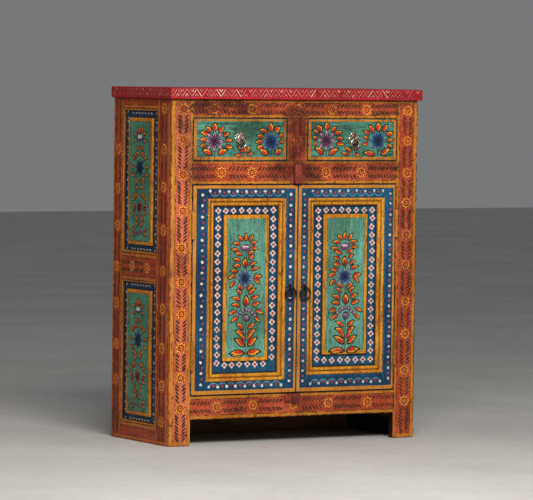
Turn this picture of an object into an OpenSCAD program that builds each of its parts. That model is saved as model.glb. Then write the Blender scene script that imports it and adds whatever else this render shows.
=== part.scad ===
// Painted cabinet on short legs: two inset drawers over a pair of inset panelled doors.
// Frame-and-panel carcass with stub tenons, butt hinges, ring pulls and two wooden turn buttons.
// Origin: centre of the footprint on the floor. +Z up, the front faces -Y.

/* [Overall] */
// Height of the cabinet from the floor to the top of the top board
height = 900; // [880:1:1000]
// Width of the body over its sides
body_w = 716; // [700:2:760]
// Depth of the body from front face to back face
body_d = 317; // [300:1:360]
// Distance of the front face in front of the origin
front_off = 150; // [140:1:170]

/* [Top board] */
// Thickness of the top board
top_t = 28.5; // [20:0.5:36]
// Overhang of the top board in front
top_over_front = 12; // [4:1:16]
// Overhang of the top board at each side
top_over_side = 10; // [4:1:16]

/* [Frame stock] */
// Thickness of the front frame
frame_t = 20; // [18:1:24]
// Thickness of the side frames
side_t = 22; // [20:1:26]
// Thickness of the back frame
back_t = 16; // [14:1:20]
// Width of the front stiles, which run to the floor as legs
stile_w = 61; // [55:1:65]
// Height of the bottom edge of the bottom front rail above the floor
leg_h = 66; // [40:1:80]
// Height of the bottom edge of the door opening
door_z0 = 126; // [120:1:140]
// Height of the top edge of the door opening
door_z1 = 657; // [600:1:660]
// Height of the bottom edge of the drawer openings
drawer_z0 = 717; // [712:1:724]
// Height of the top edge of the drawer openings
drawer_z1 = 824; // [810:1:830]
// Left edge of the stile between the drawers
mid_x0 = -28; // [-34:1:-24]
// Right edge of the stile between the drawers
mid_x1 = 33; // [28:1:38]
// Length of the stub tenons
tenon = 22; // [16:1:26]

/* [Doors] */
// Where the two doors meet
meet_x = 7.3; // [0:0.1:10]
// Gap round each door
door_gap = 1.5; // [1:0.1:2]
// Thickness of the door frames
door_t = 20; // [18:1:22]
// How far the panel ground lies behind the door face
panel_sink = 6.5; // [4:0.5:8]
// Width of the mitred moulding round each door panel
mould_w = 19.5; // [16:0.5:22]

/* [Drawers] */
// Gap round each drawer front
drawer_gap = 1; // [0.6:0.1:1.5]
// Depth of the drawer boxes from the front face
drawer_d = 282; // [240:1:285]
// Thickness of the drawer sides and backs
drawer_side_t = 10; // [8:1:12]

/* [Hardware] */
// Length of the butt hinges
hinge_l = 70; // [60:1:76]
// Radius of the hinge knuckles
knuckle_r = 4.5; // [4:0.1:5]
// Radius of the hinge pins
pin_r = 2; // [1.5:0.1:2.4]
// Radial play of the hinge pins in the knuckles
pin_play = 0.05; // [0.02:0.01:0.08]
// Height of the middle of the lower hinges
hinge_z_low = 226; // [200:1:260]
// Height of the middle of the upper hinges
hinge_z_high = 556; // [520:1:580]
// Mean radius of the door rings
door_ring_r = 15; // [12:0.5:17]
// Wire radius of the door rings
door_ring_wire = 2.2; // [1.6:0.1:2.4]
// Mean radius of the drawer rings
drawer_ring_r = 11.5; // [9:0.5:13]
// Wire radius of the drawer rings
drawer_ring_wire = 1.7; // [1.3:0.1:1.8]
// Thickness of the wooden turn buttons
button_t = 14; // [10:1:16]

/* [Hidden] */
$fn = 48;

F = -front_off;                 // front face
B = F + body_d;                 // back face
hw = body_w / 2;                // half width
fi = F + frame_t;               // back of the front frame
H1 = height - top_t;            // underside of the top board
sx = hw - stile_w;              // inner edge of the front stiles
si = hw - side_t;               // inner face of the side frames
bi = B - back_t;                // inner face of the back frame
fs_y1 = F + 75;                 // back edge of the side frames' front stiles
bs_y0 = B - 51;                 // front edge of the side frames' back stiles
side_mid0 = 408;                // side middle rail
side_mid1 = 478;
side_low1 = 45;                 // top of the side bottom rail
side_top0 = H1 - 27;            // bottom of the side top rail
back_sw = 97;                   // width of the back stiles
tt = 8;                         // tenon and groove thickness
gd = 8;                         // groove depth
e = 0.01;

wood = [0.55, 0.38, 0.24];
coral = [0.80, 0.38, 0.27];
blue = [0.10, 0.33, 0.50];
teal = [0.36, 0.62, 0.55];
ochre = [0.80, 0.57, 0.18];
red = [0.70, 0.14, 0.20];
iron = [0.10, 0.10, 0.11];
bronze = [0.62, 0.50, 0.40];

// a box from one corner to the other
module box(a, b) { translate(a) cube([b[0] - a[0], b[1] - a[1], b[2] - a[2]]); }

// a tenon along X on the front frame, centred in its thickness
module tenon_x(x0, x1, z0, z1) { box([x0, F + (frame_t - tt) / 2, z0 + 8], [x1, F + (frame_t + tt) / 2, z1 - 8]); }

// ---- top ----
module top_board() color(red) difference() {
    box([-hw - top_over_side, F - top_over_front, H1], [hw + top_over_side, B, height]);
}

// ---- front frame ----
module front_mortises(s) {
    x0 = s < 0 ? -sx - tenon : sx;
    for (z = [[leg_h, door_z0], [door_z1, drawer_z0], [drawer_z1, H1]])
        box([x0, F + (frame_t - tt) / 2, z[0] + 8], [x0 + tenon, F + (frame_t + tt) / 2, z[1] - 8]);
}
// bed for a hinge leaf in a stile edge; s is -1 on the left, 1 on the right
module leaf_bed(s, zc) {
    x = s * sx;
    box([min(x, x + s * 1.6), F - e, zc - hinge_l / 2], [max(x, x + s * 1.6) , F + 16, zc + hinge_l / 2]);
}
module leaf_screw_hole(s, zc) {
    for (dz = [-24, 0, 24]) translate([s * sx, F + 9, zc + dz]) rotate([0, s * 90, 0]) cylinder(r = 1.5, h = 13.6);
}
module front_stile(s) {
    x0 = s < 0 ? -hw : sx;
    difference() {
        box([x0, F, 0], [x0 + stile_w, fi, H1]);
        front_mortises(s);
        // groove for the tongue of the side frame
        box([s < 0 ? -hw + 7 : hw - 15, fi - 6, -1], [s < 0 ? -hw + 15 : hw - 7, fi + e, H1 + 1]);
        for (z = [hinge_z_low, hinge_z_high]) { leaf_bed(s, z); leaf_screw_hole(s, z); }
    }
}
module front_stile_left() color(coral) front_stile(-1);
module front_stile_right() color(coral) front_stile(1);
module front_stile_centre() color(coral) union() {
    box([mid_x0, F, drawer_z0], [mid_x1, fi, drawer_z1]);
    box([mid_x0 + 12, F + (frame_t - tt) / 2, drawer_z0 - 16], [mid_x1 - 12, F + (frame_t + tt) / 2, drawer_z1 + 16]);
}
module centre_mortise(z0, z1) { box([mid_x0 + 12, F + (frame_t - tt) / 2, z0], [mid_x1 - 12, F + (frame_t + tt) / 2, z1]); }
module front_rail(z0, z1) union() {
    box([-sx, F, z0], [sx, fi, z1]);
    tenon_x(-sx - tenon, -sx + e, z0, z1);
    tenon_x(sx - e, sx + tenon, z0, z1);
}
module front_rail_top() color(coral) difference() {
    front_rail(drawer_z1, H1);
    centre_mortise(drawer_z1 - e, drawer_z1 + 16);
}
module front_rail_middle() color(coral) difference() {
    front_rail(door_z1, drawer_z0);
    centre_mortise(drawer_z0 - 16, drawer_z0 + e);
    translate([button_top_x, F - e, button_top_z]) rotate([-90, 0, 0]) cylinder(r = 1.5, h = 14);
}
module front_rail_bottom() color(coral) difference() {
    front_rail(leg_h, door_z0);
    translate([button_low_x, F - e, button_low_z]) rotate([-90, 0, 0]) cylinder(r = 1.5, h = 14);
}

// ---- side frames; drawn for the left side and mirrored for the right ----
side_rail_z = [[0, side_low1], [side_mid0, side_mid1], [side_top0, H1]];
side_panel_z = [[side_low1, side_mid0], [side_mid1, side_top0]];
gx0 = -hw + 7;                   // groove in the thickness of the side frame
module side_rail_tenon(y0, y1, z) { box([gx0, y0, z[0] + 6], [gx0 + tt, y1, z[1] - 6]); }
module side_stile_front() difference() {
    union() {
        box([-hw, fi, 0], [-si, fs_y1, H1]);
        box([-hw + 7, fi - 6, 0], [-hw + 15, fi + e, H1]);
    }
    for (z = side_rail_z) side_rail_tenon(fs_y1 - tenon, fs_y1 + e, z);
    for (z = side_panel_z) box([gx0, fs_y1 - gd, z[0] - gd], [gx0 + tt, fs_y1 + e, z[1] + gd]);
}
module side_stile_back() difference() {
    box([-hw, bs_y0, 0], [-si, B, H1]);
    for (z = side_rail_z) side_rail_tenon(bs_y0 - e, bs_y0 + tenon, z);
    for (z = side_panel_z) box([gx0, bs_y0 - e, z[0] - gd], [gx0 + tt, bs_y0 + gd, z[1] + gd]);
    // rebate for the back frame
    box([-si - 8, bi, -1], [-si + e, B + e, H1 + 1]);
}
module side_rails() for (z = side_rail_z) difference() {
    union() {
        box([-hw, fs_y1, z[0]], [-si, bs_y0, z[1]]);
        side_rail_tenon(fs_y1 - tenon, fs_y1 + e, z);
        side_rail_tenon(bs_y0 - e, bs_y0 + tenon, z);
    }
    for (p = side_panel_z) box([gx0 - e, fs_y1 - gd, p[0] - gd], [gx0 + tt + e, bs_y0 + gd, p[1] + gd]);
}
// each panel runs in the grooves and carries a raised field
sf = 6;                          // height of the raised field
module side_panels() for (z = side_panel_z) {
    y0 = fs_y1 + 32;
    y1 = bs_y0 - 28;
    z0 = z[0] + 21;
    z1 = z[1] - 23;
    box([gx0, fs_y1 - gd, z[0] - gd], [gx0 + tt, bs_y0 + gd, z[1] + gd]);
    intersection() {
        translate([0, 0, z0 - 20]) linear_extrude(z1 - z0 + 40)
            polygon([[gx0 + 1, y0 - 2], [gx0 - sf + 1, y0 - 0.5], [gx0 - sf, y0 + 1.5], [gx0 - sf, y1 - 1.5], [gx0 - sf + 1, y1 + 0.5], [gx0 + 1, y1 + 2]]);
        translate([0, y1 + 20, 0]) rotate([90, 0, 0]) linear_extrude(y1 - y0 + 40)
            polygon([[gx0 + 1, z0 - 2], [gx0 - sf + 1, z0 - 0.5], [gx0 - sf, z0 + 1.5], [gx0 - sf, z1 - 1.5], [gx0 - sf + 1, z1 + 0.5], [gx0 + 1, z1 + 2]]);
    }
}
module side_left_stile_front() color(coral) side_stile_front();
module side_left_stile_back() color(coral) side_stile_back();
module side_left_rails() color(coral) side_rails();
module side_left_panels() color(teal) side_panels();
module side_right_stile_front() color(coral) mirror([1, 0, 0]) side_stile_front();
module side_right_stile_back() color(coral) mirror([1, 0, 0]) side_stile_back();
module side_right_rails() color(coral) mirror([1, 0, 0]) side_rails();
module side_right_panels() color(teal) mirror([1, 0, 0]) side_panels();

// A mitred frame of one moulding lying in the XZ plane, its back on y = 0 and its face towards -Y.
// profile: points [across, forward], across from 0 at the outer edge to w at the inner edge
module mitred(w, h, pw, profile) {
    for (i = [0:3]) {
        l = i % 2 == 0 ? h : w;           // length of this side
        o = i % 2 == 0 ? w : h;
        rotate([0, i * 90, 0]) intersection() {
            translate([-o / 2, 0, -l / 2]) linear_extrude(l) polygon([for (p = profile) [p[0], -p[1]]]);
            rotate([90, 0, 0]) translate([0, 0, -50]) linear_extrude(100)
                polygon([[-o / 2, -l / 2], [-o / 2 + pw, -l / 2 + pw], [-o / 2 + pw, l / 2 - pw], [-o / 2, l / 2]]);
        }
    }
}
side_mould = [[0, 0], [6, 0], [6, 1], [2, 6.4], [0, 6.4]];
module side_mouldings() color(ochre) for (m = [0, 1]) mirror([m, 0, 0]) for (z = side_panel_z)
    translate([gx0, (fs_y1 + bs_y0) / 2, (z[0] + z[1]) / 2]) rotate([0, 0, -90])
        mitred(bs_y0 - fs_y1, z[1] - z[0], 6, side_mould);

// ---- back ----
back_rail_z = [[0, 90], [400, 470], [H1 - 80, H1]];
back_panel_z = [[90, 400], [470, H1 - 80]];
bx = si + 8;                      // outer edge of the back frame, in the rebate
gy = bi + 4;                      // front of the groove
module back_stiles() color(wood) for (m = [0, 1]) mirror([m, 0, 0]) difference() {
    box([-bx, bi, 0], [-si + back_sw, B, H1]);
    for (z = back_rail_z) box([-si + back_sw - tenon, gy, z[0] + 8], [-si + back_sw + e, gy + tt, z[1] - 8]);
    for (z = back_panel_z) box([-si + back_sw - gd, gy, z[0] - gd], [-si + back_sw + e, gy + tt, z[1] + gd]);
}
module back_rails() color(wood) for (z = back_rail_z) difference() {
    union() {
        box([-si + back_sw, bi, z[0]], [si - back_sw, B, z[1]]);
        box([-si + back_sw - tenon, gy, z[0] + 8], [si - back_sw + tenon, gy + tt, z[1] - 8]);
    }
    for (p = back_panel_z) box([-si + back_sw - gd - e, gy - e, p[0] - gd], [si - back_sw + gd + e, gy + tt + e, p[1] + gd]);
}
module back_panels() color(wood) for (z = back_panel_z)
    box([-si + back_sw - gd, gy, z[0] - gd], [si - back_sw + gd, gy + tt, z[1] + gd]);

// ---- inside ----
module floor_board() color(wood) box([-si, fi, 106], [si, bi, 120]);
module shelf_board() color(wood) box([-si, fi + 12, 392], [si, bi, 408]);
module dust_board() color(wood) box([-si, fi, drawer_z0 - 14], [si, bi, drawer_z0]);
module shelf_bearers() color(wood) for (m = [0, 1], z = [[82, 106], [368, 392], [679, 703]]) mirror([m, 0, 0])
    box([-si, fi + 14, z[0]], [-si + 20, bi, z[1]]);
module drawer_guides_and_kickers() color(wood) {
    box([-si, fi, drawer_z0], [-sx, bi, drawer_z0 + 22]);
    box([mid_x0, fi, drawer_z0], [mid_x1, bi, drawer_z0 + 22]);
    box([sx, fi, drawer_z0], [si, bi, drawer_z0 + 22]);
    for (x = [(-sx + mid_x0) / 2, (sx + mid_x1) / 2]) box([x - 20, fi, drawer_z1], [x + 20, bi, H1]);
}

// ---- doors ----
dz0 = door_z0 + door_gap;
dz1 = door_z1 - door_gap;
dlx0 = -sx + door_gap;  dlx1 = meet_x - 1;
drx0 = meet_x + 1;      drx1 = sx - door_gap;
// [outer x, inner x of left stile, inner x of right stile, outer x, top of bottom rail, bottom of top rail]
dl = [dlx0, dlx0 + 42.5, dlx1 - 33.3, dlx1, 160, 622];
dr = [drx0, drx0 + 29, drx1 - 32, drx1, 170, 622];
dgy = F + panel_sink;             // front of the panel ground, and of the groove
module door_stile(d, left) {
    x0 = left ? d[0] : d[2];
    x1 = left ? d[1] : d[3];
    xi = left ? d[1] : d[2];      // inner edge
    s = left ? -1 : 1;
    difference() {
        box([x0, F, dz0], [x1, F + door_t, dz1]);
        box([min(xi + s * gd, xi - s * e), dgy, d[4] - gd], [max(xi + s * gd, xi - s * e), dgy + tt, d[5] + gd]);
        for (z = [[dz0 + 6, d[4] - 6], [d[5] + 6, dz1 - 6]])
            box([min(xi + s * tenon, xi - s * e), dgy, z[0]], [max(xi + s * tenon, xi - s * e), dgy + tt, z[1]]);
    }
}
module door_rails(d) {
    for (k = [0, 1]) {
        z0 = k == 0 ? dz0 : d[5];
        z1 = k == 0 ? d[4] : dz1;
        difference() {
            union() {
                box([d[1], F, z0], [d[2], F + door_t, z1]);
                box([d[1] - tenon, dgy, z0 + 6], [d[2] + tenon, dgy + tt, z1 - 6]);
            }
            box([d[1] - gd - e, dgy - e, d[4] - gd], [d[2] + gd + e, dgy + tt + e, d[5] + gd]);
        }
    }
}
// ground in the grooves, with a raised field
module door_panel(d) {
    x0 = d[1] + mould_w + 28.5;
    x1 = d[2] - mould_w - 29;
    z0 = d[4] + mould_w + 31;
    z1 = d[5] - mould_w - 22;
    union() {
        box([d[1] - gd, dgy, d[4] - gd], [d[2] + gd, dgy + tt, d[5] + gd]);
        intersection() {
            translate([0, 0, z0 - 20]) linear_extrude(z1 - z0 + 40)
                polygon([[x0 - 2, dgy + 1], [x0 - 0.5, dgy - 4], [x0 + 1.5, dgy - 5], [x1 - 1.5, dgy - 5], [x1 + 0.5, dgy - 4], [x1 + 2, dgy + 1]]);
            translate([x0 - 20, 0, 0]) rotate([90, 0, 90]) linear_extrude(x1 - x0 + 40)
                polygon([[dgy + 1, z0 - 2], [dgy - 4, z0 - 0.5], [dgy - 5, z0 + 1.5], [dgy - 5, z1 - 1.5], [dgy - 4, z1 + 0.5], [dgy + 1, z1 + 2]]);
        }
    }
}
// two beads with a groove between them, sloping down to the panel ground
door_mould = [[0, 0], [mould_w, 0], [mould_w, 1.2], [mould_w - 3, 5], [mould_w - 6, 6.6], [mould_w - 9, 5.6], [mould_w - 10.5, 4],
    [mould_w - 12, 5.6], [4, 8], [1.5, 8.3], [0, 7.4]];
module door_moulding(d) translate([(d[1] + d[2]) / 2, dgy, (d[4] + d[5]) / 2])
    mitred(d[2] - d[1], d[5] - d[4], mould_w, door_mould);

// recess for a door leaf in the hinge edge of a door; s is -1 on the left door
module door_leaf_bed(s) for (zc = [hinge_z_low, hinge_z_high]) {
    x = s < 0 ? dlx0 : drx1;
    box([min(x + s, x - s * 1.3), F - e, zc - hinge_l / 2], [max(x + s, x - s * 1.3), F + 16, zc + hinge_l / 2]);
    for (dz = [-24, 0, 24]) translate([x - s * 1.2, F + 9, zc + dz]) rotate([0, -s * 90, 0]) cylinder(r = 1.5, h = 13);
}
// through hole of a staple shank
module shank_hole(x, z) translate([x, F - 1, z]) rotate([-90, 0, 0]) cylinder(r = 2.2, h = 40);

door_ring_xl = -15.5;
door_ring_xr = 26.5;
door_ring_z = 394.5;
module door_left_stile_outer() color(blue) difference() { door_stile(dl, true); door_leaf_bed(-1); }
module door_left_stile_meeting() color(blue) difference() { door_stile(dl, false); shank_hole(door_ring_xl, door_ring_z); }
module door_left_rails() color(blue) door_rails(dl);
module door_left_panel() color(teal) door_panel(dl);
module door_left_moulding() color(ochre) door_moulding(dl);
module door_right_stile_outer() color(blue) difference() { door_stile(dr, false); door_leaf_bed(1); }
module door_right_stile_meeting() color(blue) difference() { door_stile(dr, true); shank_hole(door_ring_xr, door_ring_z); }
module door_right_rails() color(blue) door_rails(dr);
module door_right_panel() color(teal) door_panel(dr);
module door_right_moulding() color(ochre) door_moulding(dr);

// ---- hinges ----
ax = sx - 0.6;                    // distance of the hinge axes from the middle
ay = F - knuckle_r - 0.5;         // hinge axes in front of the face
kn = (hinge_l - 1.6) / 5;         // knuckle length
kp = kn + 0.4;                    // knuckle pitch
function kz(i) = -hinge_l / 2 + i * kp;
// s: -1 left, 1 right; frame leaf when fr is true, else door leaf. The leaf lies on one side of the axis plane.
module leaf(s, zc, fr) {
    o = fr ? s : -s;              // direction of the leaf from the axis plane
    mine = fr ? [0, 2, 4] : [1, 3];
    a = s * ax + o * 0.2;
    b = fr ? s * (sx + 1.6) : s * (sx - door_gap - 1.3);
    translate([0, 0, zc]) difference() {
        union() {
            box([min(a, b), F + 0.6, -hinge_l / 2], [max(a, b), F + 16, hinge_l / 2]);
            for (i = mine) {
                translate([s * ax, ay, kz(i)]) cylinder(r = knuckle_r, h = kn);
                box([min(a, b), ay, kz(i)], [max(a, b), F + 1, kz(i) + kn]);
            }
        }
        for (i = mine) translate([s * ax, ay, kz(i) - 1]) cylinder(r = pin_r + pin_play, h = kn + 2);
        for (dz = [-24, 0, 24]) translate([b, F + 9, dz]) rotate([0, -o * 90, 0]) {
            translate([0, 0, -1]) cylinder(r = 1.5, h = 6);
            translate([0, 0, 0.6]) cylinder(r = 2.8, h = 6);
        }
    }
}
module leaf_screws(s, fr) for (zc = [hinge_z_low, hinge_z_high], dz = [-24, 0, 24]) {
    o = fr ? s : -s;
    b = fr ? s * (sx + 1.6) : s * (sx - door_gap - 1.3);
    translate([b, F + 9, zc + dz]) rotate([0, o * 90, 0]) {
        translate([0, 0, -1.5]) cylinder(r = 2.8, h = 0.9);
        translate([0, 0, -0.7]) cylinder(r = 1.5, h = 12.5);
    }
}
module hinge_frame_leaves() color(ochre) for (s = [-1, 1], z = [hinge_z_low, hinge_z_high]) leaf(s, z, true);
module hinge_pins() color(iron) for (s = [-1, 1], z = [hinge_z_low, hinge_z_high]) translate([s * ax, ay, z]) {
    translate([0, 0, -hinge_l / 2 - 1.5]) cylinder(r = pin_r, h = hinge_l + 3);
    translate([0, 0, hinge_l / 2 + 0.3]) cylinder(r = 3.4, h = 1.8);
    translate([0, 0, -hinge_l / 2 - 2.1]) cylinder(r = 3.4, h = 1.8);
}
module hinge_frame_screws() color(iron) for (s = [-1, 1]) leaf_screws(s, true);
module door_left_hinge_leaves() color(ochre) for (z = [hinge_z_low, hinge_z_high]) leaf(-1, z, false);
module door_right_hinge_leaves() color(ochre) for (z = [hinge_z_low, hinge_z_high]) leaf(1, z, false);
module door_left_hinge_screws() color(iron) leaf_screws(-1, false);
module door_right_hinge_screws() color(iron) leaf_screws(1, false);

// ---- drawers ----
drw_l = [-sx + drawer_gap, mid_x0 - drawer_gap];
drw_r = [mid_x1 + drawer_gap, sx - drawer_gap];
wz0 = drawer_z0 + drawer_gap;
wz1 = drawer_z1 - drawer_gap;
wy1 = F + drawer_d;
st = drawer_side_t;
bot_z = wz0 + 8;                  // underside of the drawer bottom
bot_t = 6;
tail_z = [wz0 + 24, wz0 + 52, wz0 + 80];
// three dovetail tails, seen in the YZ plane, from y0 forward over 12 mm
module tails(x0, x1) for (z = tail_z)
    translate([x0, 0, 0]) rotate([90, 0, 90]) linear_extrude(x1 - x0)
        polygon([[F + frame_t + e, z - 7], [F + frame_t - 12, z - 9.5], [F + frame_t - 12, z + 9.5], [F + frame_t + e, z + 7]]);
module drawer_bottom_space(d) box([d[0] + st - 5, F + frame_t - 6, bot_z], [d[1] - st + 5, wy1 + 1, bot_z + bot_t]);
module drawer_front(d, px) difference() {
    box([d[0], F, wz0], [d[1], F + frame_t, wz1]);
    tails(d[0] - e, d[0] + st);
    tails(d[1] - st, d[1] + e);
    drawer_bottom_space(d);
    translate([px, F - 1, drawer_ring_z]) rotate([-90, 0, 0]) cylinder(r = 1.8, h = 40);
}
module drawer_sides(d) for (x = [d[0], d[1] - st]) difference() {
    union() {
        box([x, F + frame_t, wz0], [x + st, wy1, wz1 - 6]);
        tails(x, x + st);
    }
    drawer_bottom_space(d);
    // housing of the back board
    box([x == d[0] ? x + 5 : x - 1, wy1 - 22, bot_z + bot_t], [x == d[0] ? x + st + 1 : x + st - 5, wy1 - 12, wz1]);
}
module drawer_back(d) box([d[0] + 5, wy1 - 22, bot_z + bot_t], [d[1] - 5, wy1 - 12, wz1 - 12]);
module drawer_bottom(d) box([d[0] + st - 5, F + frame_t - 6, bot_z], [d[1] - st + 5, wy1, bot_z + bot_t]);
drawer_ring_z = 772;
drawer_ring_xl = -162;
drawer_ring_xr = 169;
module drawer_left_front() color(teal) drawer_front(drw_l, drawer_ring_xl);
module drawer_left_sides() color(wood) drawer_sides(drw_l);
module drawer_left_back() color(wood) drawer_back(drw_l);
module drawer_left_bottom() color(wood) drawer_bottom(drw_l);
module drawer_right_front() color(teal) drawer_front(drw_r, drawer_ring_xr);
module drawer_right_sides() color(wood) drawer_sides(drw_r);
module drawer_right_back() color(wood) drawer_back(drw_r);
module drawer_right_bottom() color(wood) drawer_bottom(drw_r);

// ---- ring pulls ----
// eye: an upright ring of wire whose hole runs along X, on a shank that goes through the wood
module eye(x, y, z, eye_r, wire, shank_r, back) {
    translate([x, y, z]) rotate([0, 90, 0]) rotate_extrude() translate([eye_r, 0]) circle(r = wire);
    translate([x, y + eye_r, z]) rotate([-90, 0, 0]) cylinder(r = shank_r, h = back - y - eye_r + 2);
    translate([x, back, z]) rotate([-90, 0, 0]) cylinder(r = shank_r * 2.4, h = 1.6);
}
door_eye_y = F - 8.5;
module door_staple(x) {
    eye(x, door_eye_y, door_ring_z, 4.6, 1.6, 2.2, F + door_t);
    translate([x, F - 1.5, door_ring_z]) rotate([-90, 0, 0]) cylinder(r = 8, h = 1.5);
}
module ring(x, y, z, r, wire) translate([x, y, z - r]) rotate([90, 0, 0]) rotate_extrude() translate([r, 0]) circle(r = wire);
module door_left_pull_staple() color(iron) door_staple(door_ring_xl);
module door_right_pull_staple() color(iron) door_staple(door_ring_xr);
module door_left_ring() color(iron) ring(door_ring_xl, door_eye_y, door_ring_z, door_ring_r, door_ring_wire);
module door_right_ring() color(iron) ring(door_ring_xr, door_eye_y, door_ring_z, door_ring_r, door_ring_wire);
drawer_eye_y = F - 8;
module rosette(x) {
    eye(x, drawer_eye_y, drawer_ring_z, 3.8, 1.3, 1.8, F + frame_t);
    translate([x, F, drawer_ring_z + 3]) rotate([90, 0, 0]) {
        cylinder(r = 12.5, h = 1.4);
        for (i = [0:9]) rotate([0, 0, i * 36]) translate([12, 0, 0]) cylinder(r = 3.6, h = 1.4);
        cylinder(r = 8, h = 2.2);
    }
}
module drawer_left_pull_plate() color(bronze) rosette(drawer_ring_xl);
module drawer_right_pull_plate() color(bronze) rosette(drawer_ring_xr);
module drawer_left_ring() color(bronze) ring(drawer_ring_xl, drawer_eye_y, drawer_ring_z, drawer_ring_r, drawer_ring_wire);
module drawer_right_ring() color(bronze) ring(drawer_ring_xr, drawer_eye_y, drawer_ring_z, drawer_ring_r, drawer_ring_wire);

// ---- turn buttons: blocks that turn on nails driven into the rails ----
button_top_x = 2;
button_top_z = 675;
button_low_x = 4;
button_low_z = 114;
module button_bore(x, z) translate([x, F - button_t - 3, z]) rotate([-90, 0, 0]) cylinder(r = 1.56, h = button_t + 4);
module turn_button_top() color([0.45, 0.16, 0.12]) difference() {
    box([button_top_x - 10, F - button_t - 1, button_top_z - 17], [button_top_x + 10, F - 1, button_top_z + 33]);
    button_bore(button_top_x, button_top_z);
}
module turn_button_bottom() color([0.45, 0.16, 0.12]) difference() {
    union() {
        box([button_low_x - 12, F - button_t - 1, button_low_z - 11.5], [button_low_x + 10, F - 1, button_low_z + 11]);
        box([button_low_x - 32, F - 10, button_low_z - 9], [button_low_x - 11, F - 1, button_low_z + 10]);
    }
    button_bore(button_low_x, button_low_z);
}
module button_nail(x, z) {
    translate([x, F - button_t - 2.5, z]) rotate([-90, 0, 0]) cylinder(r = 3, h = 1.2);
    translate([x, F - button_t - 1.4, z]) rotate([-90, 0, 0]) cylinder(r = 1.5, h = button_t + 14);
    translate([x, F - 0.7, z]) rotate([-90, 0, 0]) cylinder(r = 5, h = 0.7);
}
module turn_button_nails() color(iron) {
    button_nail(button_top_x, button_top_z);
    button_nail(button_low_x, button_low_z);
}

top_board();
front_stile_left();
front_stile_right();
front_stile_centre();
front_rail_top();
front_rail_middle();
front_rail_bottom();
side_left_stile_front();
side_left_stile_back();
side_left_rails();
side_left_panels();
side_right_stile_front();
side_right_stile_back();
side_right_rails();
side_right_panels();
side_mouldings();
back_stiles();
back_rails();
back_panels();
floor_board();
shelf_board();
dust_board();
shelf_bearers();
drawer_guides_and_kickers();
door_left_stile_outer();
door_left_stile_meeting();
door_left_rails();
door_left_panel();
door_left_moulding();
door_right_stile_outer();
door_right_stile_meeting();
door_right_rails();
door_right_panel();
door_right_moulding();
drawer_left_front();
drawer_left_sides();
drawer_left_back();
drawer_left_bottom();
drawer_right_front();
drawer_right_sides();
drawer_right_back();
drawer_right_bottom();
hinge_frame_leaves();
hinge_pins();
hinge_frame_screws();
door_left_hinge_leaves();
door_left_hinge_screws();
door_right_hinge_leaves();
door_right_hinge_screws();
door_left_pull_staple();
door_left_ring();
door_right_pull_staple();
door_right_ring();
drawer_left_pull_plate();
drawer_left_ring();
drawer_right_pull_plate();
drawer_right_ring();
turn_button_top();
turn_button_bottom();
turn_button_nails();
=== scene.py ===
import math
import random
import bpy
from mathutils import Vector, Matrix, noise


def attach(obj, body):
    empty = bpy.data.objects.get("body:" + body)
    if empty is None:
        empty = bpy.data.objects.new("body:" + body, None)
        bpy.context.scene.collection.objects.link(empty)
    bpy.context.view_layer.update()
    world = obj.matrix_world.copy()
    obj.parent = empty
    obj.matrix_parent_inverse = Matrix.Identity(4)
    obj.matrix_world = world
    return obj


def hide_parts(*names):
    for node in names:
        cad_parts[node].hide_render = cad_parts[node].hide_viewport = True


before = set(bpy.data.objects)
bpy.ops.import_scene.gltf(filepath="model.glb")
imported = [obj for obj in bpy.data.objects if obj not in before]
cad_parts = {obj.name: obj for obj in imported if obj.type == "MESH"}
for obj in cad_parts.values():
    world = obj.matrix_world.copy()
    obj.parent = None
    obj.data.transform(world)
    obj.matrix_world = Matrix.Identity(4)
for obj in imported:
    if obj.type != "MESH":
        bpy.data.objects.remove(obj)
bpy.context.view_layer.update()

# ---------------------------------------------------------------- sizes, mm, in the frame of the CAD
F, B = -150.0, 167.0          # front and back face of the body
FI = F + 20                   # back of the front frame
BI = B - 16                   # inner face of the back frame
HW = 358.0                    # half width of the body
SX = 297.0                    # inner edge of the front stiles
SI = 336.0                    # inner face of the side frames
H, H1 = 900.0, 871.5          # top and underside of the top board
MX0, MX1 = -28.0, 33.0        # stile between the drawers
DZ0, DZ1 = 127.5, 655.5       # doors
DL = (-295.5, -253.0, -27.0, 6.3, 160.0, 622.0)
DR = (8.3, 37.3, 263.5, 295.5, 170.0, 622.0)
GROUND = 6.5                  # depth of the door panels' ground
FIELD = 1.5                   # depth of the raised fields
rnd = random.Random(41)


def lin(r, g, b):
    def f(v):
        v = v / 255
        return v / 12.92 if v <= 0.04045 else ((v + 0.055) / 1.055) ** 2.4
    return (f(r), f(g), f(b), 1.0)


def jit(c, s=0.08):
    k = 1 + rnd.uniform(-s, s)
    return tuple(min(1, max(0, v * (k + rnd.uniform(-s, s) * 0.4))) for v in c[:3]) + (1.0,)


def lerp(a, b, t):
    return tuple(x + (y - x) * t for x, y in zip(a, b))


# paint colours
RED = lin(162, 22, 34)
RED_SIDE = lin(150, 30, 38)
CORAL = lin(186, 82, 46)
PINK = lin(212, 112, 76)
RUST = lin(176, 74, 44)
OCHRE = lin(206, 142, 34)
OCHRE_D = lin(180, 108, 24)
TURQ = lin(98, 160, 142)
TURQ_D = lin(72, 122, 100)
BLUE = lin(18, 82, 116)
NAVY = lin(20, 52, 84)
CREAM = lin(236, 226, 204)
BLACK = lin(15, 11, 9)
LEAFG = lin(20, 34, 18)
GREYG = lin(128, 104, 70)
WOOD = lin(150, 112, 76)
BROWN = lin(84, 44, 26)
DOTRED = lin(158, 58, 72)
SKY = lin(110, 164, 182)
ORANGE = lin(204, 50, 20)
YELLOW = lin(230, 172, 52)
PURPLE = lin(108, 70, 108)
PURPLE_D = lin(62, 38, 66)
LILAC = lin(214, 180, 200)
COBALT = lin(26, 62, 120)
MAROON = lin(132, 34, 26)


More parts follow.
